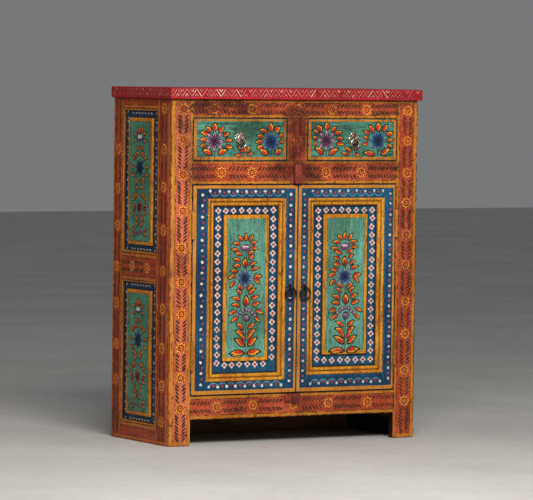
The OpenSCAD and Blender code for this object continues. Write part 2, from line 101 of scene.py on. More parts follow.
# ---------------------------------------------------------------- surface wobble shared by wood and paint
def warp(p):
    v = Vector(p)
    v = v + noise.noise_vector(v / 95.0) * 0.20
    return Vector((min(max(v.x, -367.98), 367.98), min(max(v.y, -166.5), 167.0), min(max(v.z, 0.0), 900.0)))


# ---------------------------------------------------------------- node helper
class NT:
    def __init__(self, name):
        self.mat = bpy.data.materials.new(name)
        self.mat.use_nodes = True
        self.t = self.mat.node_tree
        self.t.nodes.clear()
        self.out = self.t.nodes.new("ShaderNodeOutputMaterial")
        self.bsdf = self.t.nodes.new("ShaderNodeBsdfPrincipled")
        self.t.links.new(self.bsdf.outputs[0], self.out.inputs[0])
        self.co = self.t.nodes.new("ShaderNodeTexCoord").outputs["Object"]

    def put(self, sock, v):
        if isinstance(v, bpy.types.NodeSocket):
            self.t.links.new(v, sock)
        else:
            sock.default_value = v

    def scale(self, x, y, z, vec=None, loc=(0, 0, 0)):
        n = self.t.nodes.new("ShaderNodeMapping")
        self.put(n.inputs["Vector"], vec or self.co)
        n.inputs["Scale"].default_value = (x, y, z)
        n.inputs["Location"].default_value = loc
        return n.outputs[0]

    def noise(self, scale, detail=4.0, rough=0.5, dist=0.0, vec=None):
        n = self.t.nodes.new("ShaderNodeTexNoise")
        self.put(n.inputs["Vector"], vec or self.co)
        n.inputs["Scale"].default_value = scale
        n.inputs["Detail"].default_value = detail
        n.inputs["Roughness"].default_value = rough
        n.inputs["Distortion"].default_value = dist
        return n.outputs["Fac"]

    def cells(self, scale, vec=None):
        n = self.t.nodes.new("ShaderNodeTexVoronoi")
        n.feature = "DISTANCE_TO_EDGE"
        self.put(n.inputs["Vector"], vec or self.co)
        n.inputs["Scale"].default_value = scale
        return n.outputs["Distance"]

    def math(self, op, a, b=0.0, clamp=False):
        n = self.t.nodes.new("ShaderNodeMath")
        n.operation = op
        n.use_clamp = clamp
        self.put(n.inputs[0], a)
        self.put(n.inputs[1], b)
        return n.outputs[0]

    def rng(self, v, a, b, c=0.0, d=1.0):
        n = self.t.nodes.new("ShaderNodeMapRange")
        n.interpolation_type = "SMOOTHSTEP"
        self.put(n.inputs["Value"], v)
        n.inputs["From Min"].default_value = a
        n.inputs["From Max"].default_value = b
        n.inputs["To Min"].default_value = c
        n.inputs["To Max"].default_value = d
        return n.outputs["Result"]

    def mix(self, fac, a, b, blend="MIX"):
        n = self.t.nodes.new("ShaderNodeMix")
        n.data_type = "RGBA"
        n.blend_type = blend
        self.put(n.inputs[0], fac)
        self.put(n.inputs[6], a)
        self.put(n.inputs[7], b)
        return n.outputs[2]

    def attr(self, name, kind="Fac"):
        n = self.t.nodes.new("ShaderNodeAttribute")
        n.attribute_name = name
        return n.outputs[kind]

    def near(self, cx, cz, rx, rz, strength):
        """1 near a place on the front, 0 away from it"""
        v = self.scale(1 / rx, 0.0, 1 / rz, loc=(-cx / rx, 0.0, -cz / rz))
        n = self.t.nodes.new("ShaderNodeVectorMath")
        n.operation = "LENGTH"
        self.put(n.inputs[0], v)
        return self.math("MULTIPLY", self.rng(n.outputs["Value"], 1.0, 0.15), strength)

    def bump(self, h, dist, strength=1.0):
        n = self.t.nodes.new("ShaderNodeBump")
        n.inputs["Distance"].default_value = dist
        n.inputs["Strength"].default_value = strength
        self.put(n.inputs["Height"], h)
        self.put(self.bsdf.inputs["Normal"], n.outputs[0])


# grime on the front: centre x, z, half widths, strength (metres)
ZONES = [(-0.22, 0.852, 0.20, 0.045, 1.35), (-0.14, 0.795, 0.12, 0.05, 0.8), (0.0, 0.79, 0.065, 0.15, 1.5), (-0.325, 0.80, 0.05, 0.12, 0.75), (0.16, 0.80, 0.08, 0.05, 0.6),
         (0.0, 0.69, 0.12, 0.055, 1.5), (0.26, 0.70, 0.10, 0.035, 0.9), (0.12, 0.70, 0.08, 0.03, 0.8), (-0.29, 0.70, 0.07, 0.09, 0.8), (0.33, 0.5, 0.05, 0.4, 0.45), (0.10, 0.852, 0.12, 0.03, 0.6)]


def grain_vec(m, axis, along=7.0, across=230.0):
    s = [across] * 3
    s["xyz".index(axis)] = along
    return m.scale(*s)


def paint(name, ca, cb, axis="z", worn=0.0, grime=0.5, streaks=0.22, ornament=False, rough=0.5, bare=WOOD, under=BROWN, zones=True, flecks=0.85, lines=0.0, dark_c=lin(34, 20, 12), grain=0.24):
    """Old oil paint brushed on wood: patchy, streaked along the grain, rubbed at edges, chipped and grimy, with painted
    shade taken near black from the dirt_and_shade attribute.
    """
    m = NT(name)
    patch = m.noise(6.0, 5.0, 0.6, 0.3)
    fine = m.noise(48.0, 6.0, 0.65)
    streak = m.noise(1.0, 5.0, 0.6, 0.4, grain_vec(m, axis))
    pores = m.noise(1.0, 3.0, 0.7, 0.0, grain_vec(m, axis, 30.0, 900.0))
    if ornament:
        base = m.attr("paint", "Color")
        base = m.mix(m.rng(fine, 0.35, 0.7, 0.0, 0.22), base, m.mix(1.0, base, (0.55, 0.5, 0.45, 1), "MULTIPLY"))
    else:
        base = m.mix(m.rng(patch, 0.36, 0.64), ca, cb)
        base = m.mix(m.rng(fine, 0.4, 0.75, 0.0, 0.35), base, m.mix(1.0, base, (0.62, 0.56, 0.52, 1), "MULTIPLY"))
    # brush streaks
    light = m.rng(streak, 0.3, 0.7, 1.0 - streaks, 1.0 + streaks * 0.55)
    light = m.math("MULTIPLY", light, m.rng(m.noise(250.0, 3.0, 0.6, 0.2), 0.34, 0.66, 1.0 - grain, 1.0 + grain * 0.9))
    n = m.t.nodes.new("ShaderNodeVectorMath"); n.operation = "SCALE"
    m.put(n.inputs[0], base); m.put(n.inputs["Scale"], light)
    base = n.outputs[0]
    # grime, cloudy and where hands go; the per-vertex attribute adds painted shade in recesses and on inner faces
    cloud = m.rng(m.noise(9.0, 7.0, 0.66, 0.5), 0.46, 0.74)
    g = m.math("MULTIPLY", cloud, grime)
    if zones:
        z = None
        for cx, cz, rx, rz, s in ZONES:
            q = m.near(cx, cz, rx, rz, s)
            z = q if z is None else m.math("MAXIMUM", z, q)
        z = m.math("MULTIPLY", z, m.rng(m.noise(34.0, 8.0, 0.78), 0.30, 0.66, 0.20, 1.35))
        g = m.math("MAXIMUM", g, z)
    g = m.math("MAXIMUM", g, m.attr("dirt_and_shade"))
    g = m.math("MULTIPLY", g, m.rng(streak, 0.3, 0.65, 0.7, 1.0), True)
    base = m.mix(g, base, m.mix(1.0, base, (0.27, 0.19, 0.16, 1), "MULTIPLY"))
    # attribute values above 1 turn the colour near black: painted shade on inner faces, behind the bottom rail and in
    # moulding creases
    base = m.mix(m.rng(m.attr("dirt_and_shade"), 1.0, 2.0), base, lin(26, 18, 13))
    # dark flecks where grime sits in the brushwork
    fleck = m.math("MULTIPLY", m.rng(m.noise(1.0, 5.0, 0.7, 0.3, grain_vec(m, axis, 60.0, 330.0)), 0.575, 0.665), m.rng(m.noise(22.0, 4.0, 0.6), 0.34, 0.62, 0.25, 1.0))
    coarse = m.math("MULTIPLY", m.rng(m.noise(1.0, 3.0, 0.62, 0.5, grain_vec(m, axis, 52.0, 190.0)), 0.585, 0.645), m.rng(m.noise(13.0, 5.0, 0.65), 0.40, 0.60, 0.30, 1.0))
    fleck = m.math("MAXIMUM", fleck, coarse)
    base = m.mix(m.math("MULTIPLY", fleck, flecks), base, dark_c)
    if lines:
        dark = m.rng(m.noise(1.0, 3.0, 0.6, 0.6, grain_vec(m, axis, 11.0, 150.0)), 0.555, 0.62)
        pale = m.rng(m.noise(1.0, 3.0, 0.6, 0.6, grain_vec(m, axis, 13.0, 175.0)), 0.575, 0.64)
        base = m.mix(m.math("MULTIPLY", dark, lines), base, m.mix(1.0, base, (0.42, 0.40, 0.36, 1), "MULTIPLY"))
        base = m.mix(m.math("MULTIPLY", pale, lines * 0.5), base, m.mix(1.0, base, (1.45, 1.5, 1.5, 1), "MULTIPLY"))
    # fine crackle
    crack = m.rng(m.cells(150.0, m.scale(1.0, 1.0, 1.0)), 0.0, 0.035, 1.0, 0.0)
    crack = m.math("MULTIPLY", crack, m.rng(m.noise(18.0, 3.0), 0.5, 0.68))
    base = m.mix(m.math("MULTIPLY", crack, 0.45), base, under)
    # wear through to the wood: rubbed edges, scattered chips
    edge = m.attr("wear")
    rub = m.math("ADD", m.math("MULTIPLY", m.noise(34.0, 8.0, 0.72), 0.72), m.math("MULTIPLY", streak, 0.28))
    rub = m.math("ADD", rub, m.math("MULTIPLY", m.math("POWER", edge, 1.6), 0.13))
    w = m.rng(rub, 0.665 - worn, 0.70 - worn)
    chips = m.rng(m.noise(120.0, 4.0, 0.6), 0.71 - worn * 0.5, 0.73 - worn * 0.5)
    w = m.math("MAXIMUM", w, m.math("MULTIPLY", chips, 0.8))
    raw = m.mix(m.rng(pores, 0.35, 0.65), bare, m.mix(0.6, bare, under))
    raw = m.mix(m.rng(m.noise(70.0, 3.0), 0.4, 0.62), raw, under)
    base = m.mix(w, base, raw)
    m.put(m.bsdf.inputs["Base Color"], base)
    r = m.rng(fine, 0.3, 0.7, rough - 0.09, rough + 0.10)
    r = m.math("ADD", r, m.math("MULTIPLY", w, 0.22), True)
    m.put(m.bsdf.inputs["Roughness"], r)
    m.bsdf.inputs["Specular IOR Level"].default_value = 0.30
    h = m.math("ADD", m.math("MULTIPLY", streak, 0.5), m.math("MULTIPLY", pores, 0.22))
    h = m.math("ADD", h, m.math("MULTIPLY", m.noise(260.0, 4.0, 0.6), 0.35))
    h = m.math("SUBTRACT", h, m.math("MULTIPLY", w, 0.55))
    h = m.math("SUBTRACT", h, m.math("MULTIPLY", crack, 0.3))
    m.bump(h, 0.0007, 0.8)
    return m.mat


def bare_wood(name, ca, cb, axis="x", rough=0.72, grime=0.5):
    m = NT(name)
    g = grain_vec(m, axis, 5.0, 75.0)
    rings = m.noise(1.0, 4.0, 0.55, 1.2, g)
    pores = m.noise(1.0, 4.0, 0.7, 0.0, grain_vec(m, axis, 26.0, 800.0))
    base = m.mix(m.rng(rings, 0.34, 0.66), ca, cb)
    base = m.mix(m.rng(pores, 0.42, 0.7, 0.0, 0.55), base, m.mix(1.0, base, (0.5, 0.42, 0.36, 1), "MULTIPLY"))
    cloud = m.math("MULTIPLY", m.rng(m.noise(7.0, 6.0, 0.65), 0.45, 0.75), grime)
    base = m.mix(cloud, base, lin(70, 50, 36))
    edge = m.math("MULTIPLY", m.math("POWER", m.attr("wear"), 2.0), m.rng(m.noise(40.0, 4.0), 0.35, 0.65, 0.05, 0.4))
    base = m.mix(edge, base, lin(60, 42, 30))
    m.put(m.bsdf.inputs["Base Color"], base)
    m.put(m.bsdf.inputs["Roughness"], m.rng(pores, 0.3, 0.7, rough - 0.08, rough + 0.12))
    m.bsdf.inputs["Specular IOR Level"].default_value = 0.3
    m.bump(m.math("ADD", m.math("MULTIPLY", rings, 0.5), pores), 0.0006, 0.8)
    return m.mat


def metal(name, ca, cb, rust, rough, metallic, rust_amount=0.55):
    m = NT(name)
    a = m.noise(90.0, 6.0, 0.6)
    b = m.noise(420.0, 5.0, 0.65)
    base = m.mix(m.rng(a, 0.38, 0.62), ca, cb)
    rr = m.rng(m.noise(160.0, 7.0, 0.7, 0.6), rust_amount, rust_amount + 0.12)
    base = m.mix(rr, base, rust)
    m.put(m.bsdf.inputs["Base Color"], base)
    m.put(m.bsdf.inputs["Metallic"], m.math("MULTIPLY", m.rng(rr, 0.0, 1.0, 1.0, 0.35), metallic))
    m.put(m.bsdf.inputs["Roughness"], m.math("ADD", m.rng(b, 0.3, 0.7, rough - 0.1, rough + 0.12), m.math("MULTIPLY", rr, 0.25), True))
    m.bump(m.math("ADD", m.math("MULTIPLY", a, 0.7), m.math("MULTIPLY", b, 0.5)), 0.0004, 0.7)
    return m.mat


M = {}
for ax in "xyz":
    M["coral_" + ax] = paint("coral_paint_" + ax, CORAL, lin(168, 66, 32), ax, worn=0.014, grime=0.85, flecks=0.95, lines=0.35)
    M["rust_" + ax] = paint("coral_side_paint_" + ax, lin(190, 78, 24), lin(164, 56, 14), ax, worn=0.0, grime=0.8, zones=False, flecks=0.95, lines=0.35)
    M["wood_" + ax] = bare_wood("aged_wood_" + ax, lin(142, 112, 80), lin(112, 84, 58), ax)
    M["blue_" + ax] = paint("blue_paint_" + ax, BLUE, lin(9, 50, 82), ax, worn=-0.01, grime=0.45, streaks=0.2, bare=lin(120, 110, 90), zones=False, flecks=0.7, lines=0.4, dark_c=lin(8, 20, 34))
M["pink_z"] = paint("pale_coral_paint", PINK, lin(196, 94, 58), "z", worn=0.012, grime=0.5, flecks=0.9, lines=0.25)
M["red"] = paint("red_paint", RED, lin(150, 18, 28), "x", grain=0.15, worn=0.0, grime=0.4, streaks=0.15, zones=False)
M["turq"] = paint("turquoise_paint", TURQ, TURQ_D, "z", worn=-0.02, grime=0.24, streaks=0.28, zones=False, flecks=0.6, lines=0.55, dark_c=lin(34, 52, 44))
M["turq_drawer"] = paint("turquoise_drawer_paint", lin(80, 142, 124), lin(54, 106, 88), "x", worn=-0.008, grime=0.8, streaks=0.32, flecks=0.9, lines=0.9, dark_c=lin(22, 34, 28), bare=lin(88, 92, 70))
M["turq_side"] = paint("turquoise_side_paint", lin(84, 148, 122), lin(68, 122, 94), "z", worn=-0.02, grime=0.5, streaks=0.26, zones=False, flecks=0.8, lines=0.5, dark_c=lin(24, 40, 34))
M["navy"] = paint("navy_paint", lin(22, 62, 98), NAVY, "z", worn=-0.03, grime=0.5, streaks=0.2, bare=lin(110, 100, 84), zones=False)
M["ochre"] = paint("ochre_paint", lin(216, 150, 38), lin(196, 124, 26), "z", worn=-0.015, grime=0.6, streaks=0.34, rough=0.42, zones=False, lines=0.6, dark_c=lin(70, 34, 12))
M["ochre_side"] = paint("ochre_side_paint", lin(205, 138, 40), lin(190, 116, 30), "z", worn=-0.015, grime=0.6, streaks=0.26, rough=0.42, zones=False, lines=0.5, dark_c=lin(60, 28, 10))
M["ink"] = paint("ornament_paint", None, None, "z", grain=0.12, worn=-0.008, grime=0.55, streaks=0.2, ornament=True, rough=0.48, flecks=0.75, lines=0.3)
M["ink_door"] = paint("ornament_paint_doors", None, None, "z", grain=0.12, worn=-0.03, grime=0.3, streaks=0.12, ornament=True, rough=0.45, zones=False, flecks=0.5, lines=0.2)
M["iron"] = metal("black_iron", lin(34, 35, 40), lin(62, 64, 72), lin(52, 38, 32), 0.34, 0.9, 0.64)
M["bronze"] = metal("tarnished_bronze", lin(224, 210, 196), lin(132, 104, 86), lin(52, 36, 28), 0.24, 0.97, 0.52)
M["steel"] = metal("aged_steel", lin(120, 112, 104), lin(86, 78, 70), lin(92, 56, 34), 0.45, 0.8, 0.5)
M["button"] = paint("turn_button_stain", lin(150, 58, 44), lin(110, 36, 26), "z", worn=0.035, grime=0.5, streaks=0.3, bare=lin(176, 104, 84), under=lin(52, 20, 14), zones=False)
M["hinge"] = paint("painted_hinge", lin(198, 128, 44), lin(150, 84, 36), "z", worn=0.02, grime=0.6, streaks=0.1, rough=0.4, bare=lin(90, 70, 54), zones=False)


# ---------------------------------------------------------------- meshes
def finish_mesh(name, body, verts, faces, mat, attrs=None, colours=None, replaces=(), sharp=38):
    me = bpy.data.meshes.new(name)
    me.from_pydata([tuple(c * 0.001 for c in v) for v in verts], [], faces)
    me.validate()
    for k, vals in (attrs or {}).items():
        a = me.attributes.new(k, "FLOAT", "POINT")
        a.data.foreach_set("value", vals)
    if colours is not None:
        a = me.attributes.new("paint", "FLOAT_COLOR", "POINT")
        a.data.foreach_set("color", [c for col in colours for c in col])
    me.polygons.foreach_set("use_smooth", [True] * len(me.polygons))
    me.set_sharp_from_angle(angle=math.radians(sharp))
    me.materials.append(mat)
    o = bpy.data.objects.new(name, me)
    bpy.context.scene.collection.objects.link(o)
    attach(o, body)
    if replaces:
        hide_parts(*replaces)
    return o


def lines(a, b, r, step):
    n = b - a
    offs = [o for o in (0.0, 0.35 * r, r, 3.0, 6.0, 10.0) if o < n / 2 - 0.3 and (o <= r or o > r + 0.5)]
    lo = [a + o for o in offs]
    hi = [b - o for o in reversed(offs)]
    mid = hi[0] - lo[-1]
    k = max(1, int(round(mid / step)))
    return lo + [lo[-1] + mid * i / k for i in range(1, k)] + hi


def box_mesh(verts, faces, wear, dirt_and_shade, lo, hi, r, step, dirt_and_shade_at=None, bend=None):
    """A board with rounded edges as a closed grid; wear tells how near an edge is."""
    ls = [lines(lo[i], hi[i], r, step) for i in range(3)]
    index = {}

    def vert(i, j, k):
        key = (i, j, k)
        if key not in index:
            p = Vector((ls[0][i], ls[1][j], ls[2][k]))
            q = Vector(tuple(min(max(p[a], lo[a] + r), hi[a] - r) for a in range(3)))
            d = p - q
            if d.length > 1e-6:
                n = d.normalized()
                if sum(1 for c in d if abs(c) > 1e-6) > 1:
                    p = q + n * r
            dist = sorted(min(ls[a][x] - lo[a], hi[a] - ls[a][x]) for a, x in ((0, i), (1, j), (2, k)))
            w = max(0.0, 1 - dist[1] / 9.0)
            if bend:
                p = bend(p)
            index[key] = len(verts)
            verts.append(warp(p))
            wear.append(w)
            dirt_and_shade.append(dirt_and_shade_at(p) if dirt_and_shade_at else 0.0)
        return index[key]

    n = [len(l) for l in ls]
    for a in range(3):
        u, v = (a + 1) % 3, (a + 2) % 3
        for side in (0, n[a] - 1):
            for i in range(n[u] - 1):
                for j in range(n[v] - 1):
                    quad = []
                    for (di, dj) in ((0, 0), (1, 0), (1, 1), (0, 1)):
                        c = [0, 0, 0]
                        c[a] = side; c[u] = i + di; c[v] = j + dj
                        quad.append(vert(*c))
                    if side == 0:
                        quad.reverse()
                    faces.append(quad)


def boards(name, body, boxes, mat, r=0.9, step=24.0, replaces=(), dirt_and_shade_at=None, bend=None):
    verts, faces, wear, dirt_and_shade = [], [], [], []
    for lo, hi in boxes:
        box_mesh(verts, faces, wear, dirt_and_shade, lo, hi, r, step, dirt_and_shade_at, bend)
    return finish_mesh(name, body, verts, faces, mat, {"wear": wear, "dirt_and_shade": dirt_and_shade}, None, replaces, 50)


class Plane:
    """u, v on a face of the cabinet and h in front of it, all in mm."""
    def __init__(self, o, u, v, n):
        self.o, self.u, self.v, self.n = Vector(o), Vector(u), Vector(v), Vector(n)
        self.flip = self.u.cross(self.v).dot(self.n) < 0

    def at(self, u, v, h=0.0):
        return warp(self.o + self.u * u + self.v * v + self.n * h)

    def deeper(self, d):
        return Plane(self.o - self.n * d, self.u, self.v, self.n)


FRONT = Plane((0, F, 0), (1, 0, 0), (0, 0, 1), (0, -1, 0))
GROUND_P = FRONT.deeper(GROUND)
FIELD_P = FRONT.deeper(FIELD)
TOPF = Plane((0, F - 12, 0), (1, 0, 0), (0, 0, 1), (0, -1, 0))
SIDES = {"left": Plane((-HW, F, 0), (0, 1, 0), (0, 0, 1), (-1, 0, 0)),
         "right": Plane((HW, F, 0), (0, 1, 0), (0, 0, 1), (1, 0, 0))}


def moulding(name, body, plane, u0, v0, u1, v1, prof, mat, replaces=(), step=26.0):
    """A mitred frame swept from a closed profile of (inward, height, dirt and painted shade, wear)."""
    verts, faces, wear, dirt_and_shade = [], [], [], []
    corners = lambda a: [(u0 + a, v0 + a), (u1 - a, v0 + a), (u1 - a, v1 - a), (u0 + a, v1 - a)]
    rings = []
    for k in range(4):
        length = (u1 - u0) if k % 2 == 0 else (v1 - v0)
        n = max(2, int(length / step))
        for i in range(n):
            t = i / n
            ring = []
            for a, h, dirt_shade, we in prof:
                c = corners(a)
                p, q = c[k], c[(k + 1) % 4]
                ring.append(len(verts))
                verts.append(plane.at(p[0] + (q[0] - p[0]) * t, p[1] + (q[1] - p[1]) * t, h))
                dirt_and_shade.append(dirt_shade); wear.append(we)
            rings.append(ring)
    m = len(prof)
    for i, ring in enumerate(rings):
        nxt = rings[(i + 1) % len(rings)]
        for j in range(m):
            q = [ring[j], nxt[j], nxt[(j + 1) % m], ring[(j + 1) % m]]
            if not plane.flip:
                q.reverse()
            faces.append(q)
    o = finish_mesh(name, body, verts, faces, mat, {"wear": wear, "dirt_and_shade": dirt_and_shade}, None, replaces, 40)
    fix_normals(o)
    return o


def fix_normals(o):
    import bmesh
    bm = bmesh.new()
    bm.from_mesh(o.data)
    bmesh.ops.recalc_face_normals(bm, faces=bm.faces)
    bm.to_mesh(o.data)
    bm.free()


# ---------------------------------------------------------------- painted ornament
class Ink:
    """Thin closed slips of paint lying on a face."""
    def __init__(self, name, body, mat):
        self.name, self.body, self.mat = name, body, mat
        self.v, self.f, self.c = [], [], []
        self.k = 0

    def lift(self, layer):
        self.k = (self.k + 1) % 9
        return 0.12 + 0.12 * layer + 0.01 * self.k

    def ribbon(self, pl, pts, widths, cols, layer=0, dome=0.05):
        h = self.lift(layer)
        n = len(pts)
        if not isinstance(widths, (list, tuple)):
            widths = [widths] * n
        if not isinstance(cols, list):
            cols = [cols] * n
        base = len(self.v)
        for i in range(n):
            a = pts[max(0, i - 1)]; b = pts[min(n - 1, i + 1)]
            dx, dy = b[0] - a[0], b[1] - a[1]
            l = math.hypot(dx, dy) or 1.0
            nx, ny = -dy / l, dx / l
            w = max(0.05, widths[i] / 2)
            u, v = pts[i]
            for s, hh in ((1, h), (0, h + dome * min(1.0, w)), (-1, h), (-1, -0.12), (1, -0.12)):
                self.v.append(pl.at(u + nx * w * s, v + ny * w * s, hh))
                self.c.append(cols[i])
        m = 5
        for i in range(n - 1):
            for j in range(m):
                q = [base + i * m + j, base + i * m + (j + 1) % m, base + (i + 1) * m + (j + 1) % m, base + (i + 1) * m + j]
                if pl.flip:
                    q.reverse()
                self.f.append(q)
        a = [base + j for j in range(m)]
        b = [base + (n - 1) * m + j for j in range(m)]
        a.reverse()
        if pl.flip:
            a.reverse(); b.reverse()
        self.f.append(a); self.f.append(b)

    def disc(self, pl, u, v, r, col, layer=0, n=11, ry=None, rot=0.0, rim=None, wob=0.08, dome=0.08):
        h = self.lift(layer)
        ry = ry or r
        base = len(self.v)
        ca, sa = math.cos(rot), math.sin(rot)
        self.v.append(pl.at(u, v, h + dome)); self.c.append(col)
        ph = rnd.uniform(0, 6.28)
        for i in range(n):
            t = 2 * math.pi * i / n
            k = 1 + wob * math.sin(2 * t + ph) + rnd.uniform(-wob, wob) * 0.5
            x, y = r * k * math.cos(t), ry * k * math.sin(t)
            for hh in (h, -0.12):
                self.v.append(pl.at(u + x * ca - y * sa, v + x * sa + y * ca, hh)); self.c.append(rim or col)
        for i in range(n):
            j = (i + 1) % n
            a = [base, base + 1 + 2 * i, base + 1 + 2 * j]
            b = [base + 1 + 2 * i, base + 2 + 2 * i, base + 2 + 2 * j, base + 1 + 2 * j]
            if pl.flip:
                a.reverse(); b.reverse()
            self.f.append(a); self.f.append(b)
        bot = [base + 2 + 2 * i for i in range(n)]
        if not pl.flip:
            bot.reverse()
        self.f.append(bot)

    def band(self, pl, u0, v0, u1, v1, w, col, layer=0, wob=0.35, step=9.0, alt=None):
        """a painted line with slightly wavering edges"""
        l = math.hypot(u1 - u0, v1 - v0)
        n = max(2, int(l / step))
        s = rnd.uniform(0, 99)
        dx, dy = (u1 - u0) / l, (v1 - v0) / l
        pts, ws, cs = [], [], []
        for i in range(n + 1):
            t = i / n
            o = noise.noise(Vector((s + t * l / 40.0, 0, 0))) * wob
            pts.append((u0 + (u1 - u0) * t - dy * o, v0 + (v1 - v0) * t + dx * o))
            ws.append(w + noise.noise(Vector((s, t * l / 26.0, 3))) * wob * 1.4)
            k = 0.5 + 0.5 * noise.noise(Vector((s, 9, t * l / 55.0)))
            cs.append(lerp(col, alt or col, max(0, min(1, k))))
        self.ribbon(pl, pts, ws, cs, layer, 0.0)

    def dashes(self, pl, u0, v0, u1, v1, wd, col, density=0.6, layer=3, run=9.0):
        """a dark line that has partly worn away"""
        l = math.hypot(u1 - u0, v1 - v0)
        dx, dy = (u1 - u0) / l, (v1 - v0) / l
        t = rnd.uniform(0, run)
        while t < l - 2:
            k = min(rnd.uniform(0.4, 2.0) * run, l - t - 0.5)
            if rnd.random() < density and k > 2.0:
                o = rnd.uniform(-.45, .45)
                pts = [(u0 + dx * (t + k * q) - dy * (o + rnd.uniform(-.2, .2)), v0 + dy * (t + k * q) + dx * (o + rnd.uniform(-.2, .2))) for q in (0, .2, .5, .8, 1)]
                ww = wd * rnd.uniform(.6, 1.3)
                self.ribbon(pl, pts, [ww * .4, ww, ww * 1.1, ww * .9, ww * .3], jit(col, .15), layer, .02)
            t += k + rnd.uniform(0.0, 1.2)

    def leaf(self, pl, u0, v0, u1, v1, w, base_c=ORANGE, tip_c=YELLOW, edge_c=BLACK, bend=0.12, layer=1, n=9):
        """A leaf from its base to its tip: dark outline, yellow body, red laid over most of it."""
        dx, dy = u1 - u0, v1 - v0
        l = math.hypot(dx, dy)
        nx, ny = -dy / l, dx / l
        b = bend * l * 0.5
        s = 1 if rnd.random() < 0.7 else -1

        def spine(t, off=0.0):
            t = 0.08 + 0.84 * t
            k = 4 * t * (1 - t) * b
            return (u0 + dx * t + nx * (k + off), v0 + dy * t + ny * (k + off))
        w = w * 1.10
        prof = lambda t: max(0.0, math.sin(math.pi * min(1, max(0, t)) ** 0.76)) ** 0.90
        ts = [0.5 - 0.5 * math.cos(math.pi * i / n) for i in range(n + 1)]
        ex = [-0.12 + 1.27 * t for t in ts]
        self.ribbon(pl, [spine(t) for t in ex], [w * 1.02 * prof(t) + 2.2 for t in ts], edge_c, layer, 0.05)
        self.ribbon(pl, [spine(t) for t in ts], [w * 0.80 * prof(t) for t in ts], [jit(lerp(lerp(tip_c, base_c, .45), tip_c, t), 0.06) for t in ts], layer + 1, 0.05)
        self.ribbon(pl, [spine(0.02 + 0.80 * t, s * w * 0.09) for t in ts], [w * 0.60 * prof(t) for t in ts],
                    [jit(lerp(lerp(base_c, MAROON, .35), base_c, min(1, t * 1.5)), 0.07) for t in ts], layer + 2, 0.04)
        # a thin curl beside the leaf
        if rnd.random() < 0.6 and abs(bend) > 0.01:
            o = -s * (w * 0.56 + 2.6)
            self.ribbon(pl, [spine(-0.05, o * .7), spine(0.15, o * .95), spine(0.38, o * 1.08), spine(0.6, o * 1.0)], [0.6, 1.6, 1.7, 0.6], edge_c, 0, 0.02)

    def petal(self, pl, cu, cv, ang, r0, r1, w, inner, outer, edge=None, layer=1, n=7, tip=0.0):
        ca, sa = math.cos(ang), math.sin(ang)
        ts = [0.5 - 0.5 * math.cos(math.pi * i / n) for i in range(n + 1)]
        prof = lambda t: max(0.0, math.sin(math.pi * t ** 1.15)) ** 0.75
        pts = [(cu + ca * (r0 + (r1 - r0) * t), cv + sa * (r0 + (r1 - r0) * t)) for t in ts]
        if edge:
            ext = [(cu + ca * (r0 - 0.8 + (r1 - r0 + 1.8) * t), cv + sa * (r0 - 0.8 + (r1 - r0 + 1.8) * t)) for t in ts]
            self.ribbon(pl, ext, [w * 1.10 * prof(t) + 2.4 for t in ts], edge, layer, 0.04)
        self.ribbon(pl, pts, [w * prof(t) for t in ts], [lerp(inner, outer, min(1, max(0, (t - 0.35) * 1.7))) for t in ts], layer + 1, 0.05)

    def build(self, slot=None):
        if not self.f:
            return None
        return finish_mesh(self.name, self.body, self.v, self.f, self.mat, None, self.c, (), 30)


# ---------------------------------------------------------------- the CAD's own joinery, with worn edges
def cad_copy(name, node, body, mat, r=0.6, step=24.0):
    """The node's joinery with rounded edges, cut into a grid so that it can warp and carry wear."""
    import bmesh
    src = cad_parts[node].data
    bm = bmesh.new()
    bm.from_mesh(src)
    bmesh.ops.scale(bm, vec=(1000, 1000, 1000), verts=bm.verts)
    bmesh.ops.remove_doubles(bm, verts=bm.verts, dist=0.01)
    bmesh.ops.dissolve_limit(bm, angle_limit=0.02, verts=bm.verts, edges=bm.edges)
    sharp = [e for e in bm.edges if len(e.link_faces) == 2 and e.calc_face_angle(0) > 0.5]
    segs = [(e.verts[0].co.copy(), e.verts[1].co.copy()) for e in sharp]
    if r:
        bmesh.ops.bevel(bm, geom=sharp, offset=r, offset_type="OFFSET", segments=2, profile=0.6, affect="EDGES", clamp_overlap=True)
    lo = [min(v.co[i] for v in bm.verts) for i in range(3)]
    hi = [max(v.co[i] for v in bm.verts) for i in range(3)]
    for a in range(3):
        n = Vector((0, 0, 0)); n[a] = 1
        k = int((hi[a] - lo[a]) / step)
        cuts = [lo[a] + (hi[a] - lo[a]) * i / k for i in range(1, k)] if k > 1 else []
        cuts += [c for c in (lo[a] + 4, lo[a] + 10, hi[a] - 10, hi[a] - 4) if lo[a] + 2 < c < hi[a] - 2]
        for c in cuts:
            co = Vector((0, 0, 0)); co[a] = c
            bmesh.ops.bisect_plane(bm, geom=bm.verts[:] + bm.edges[:] + bm.faces[:], plane_co=co, plane_no=n, dist=0.02)
    bmesh.ops.triangulate(bm, faces=[f for f in bm.faces if len(f.verts) > 4])
    bm.verts.ensure_lookup_table()

    def near(p):
        d = 99.0
        for a, b in segs:
            ab = b - a
            t = max(0.0, min(1.0, (p - a).dot(ab) / max(ab.length_squared, 1e-9)))
            d = min(d, (p - (a + ab * t)).length)
        return max(0.0, 1 - d / 9.0)
    wear = [near(v.co) for v in bm.verts]
    for v in bm.verts:
        v.co = warp(v.co) * 0.001
    me = bpy.data.meshes.new(name)
    bm.to_mesh(me)
    bm.free()
    a = me.attributes.new("wear", "FLOAT", "POINT")
    a.data.foreach_set("value", wear)
    me.polygons.foreach_set("use_smooth", [True] * len(me.polygons))
    me.set_sharp_from_angle(angle=math.radians(50))
    me.materials.clear()
    me.materials.append(mat)
    o = bpy.data.objects.new(name, me)
    bpy.context.scene.collection.objects.link(o)
    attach(o, body)
    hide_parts(node)
    return o


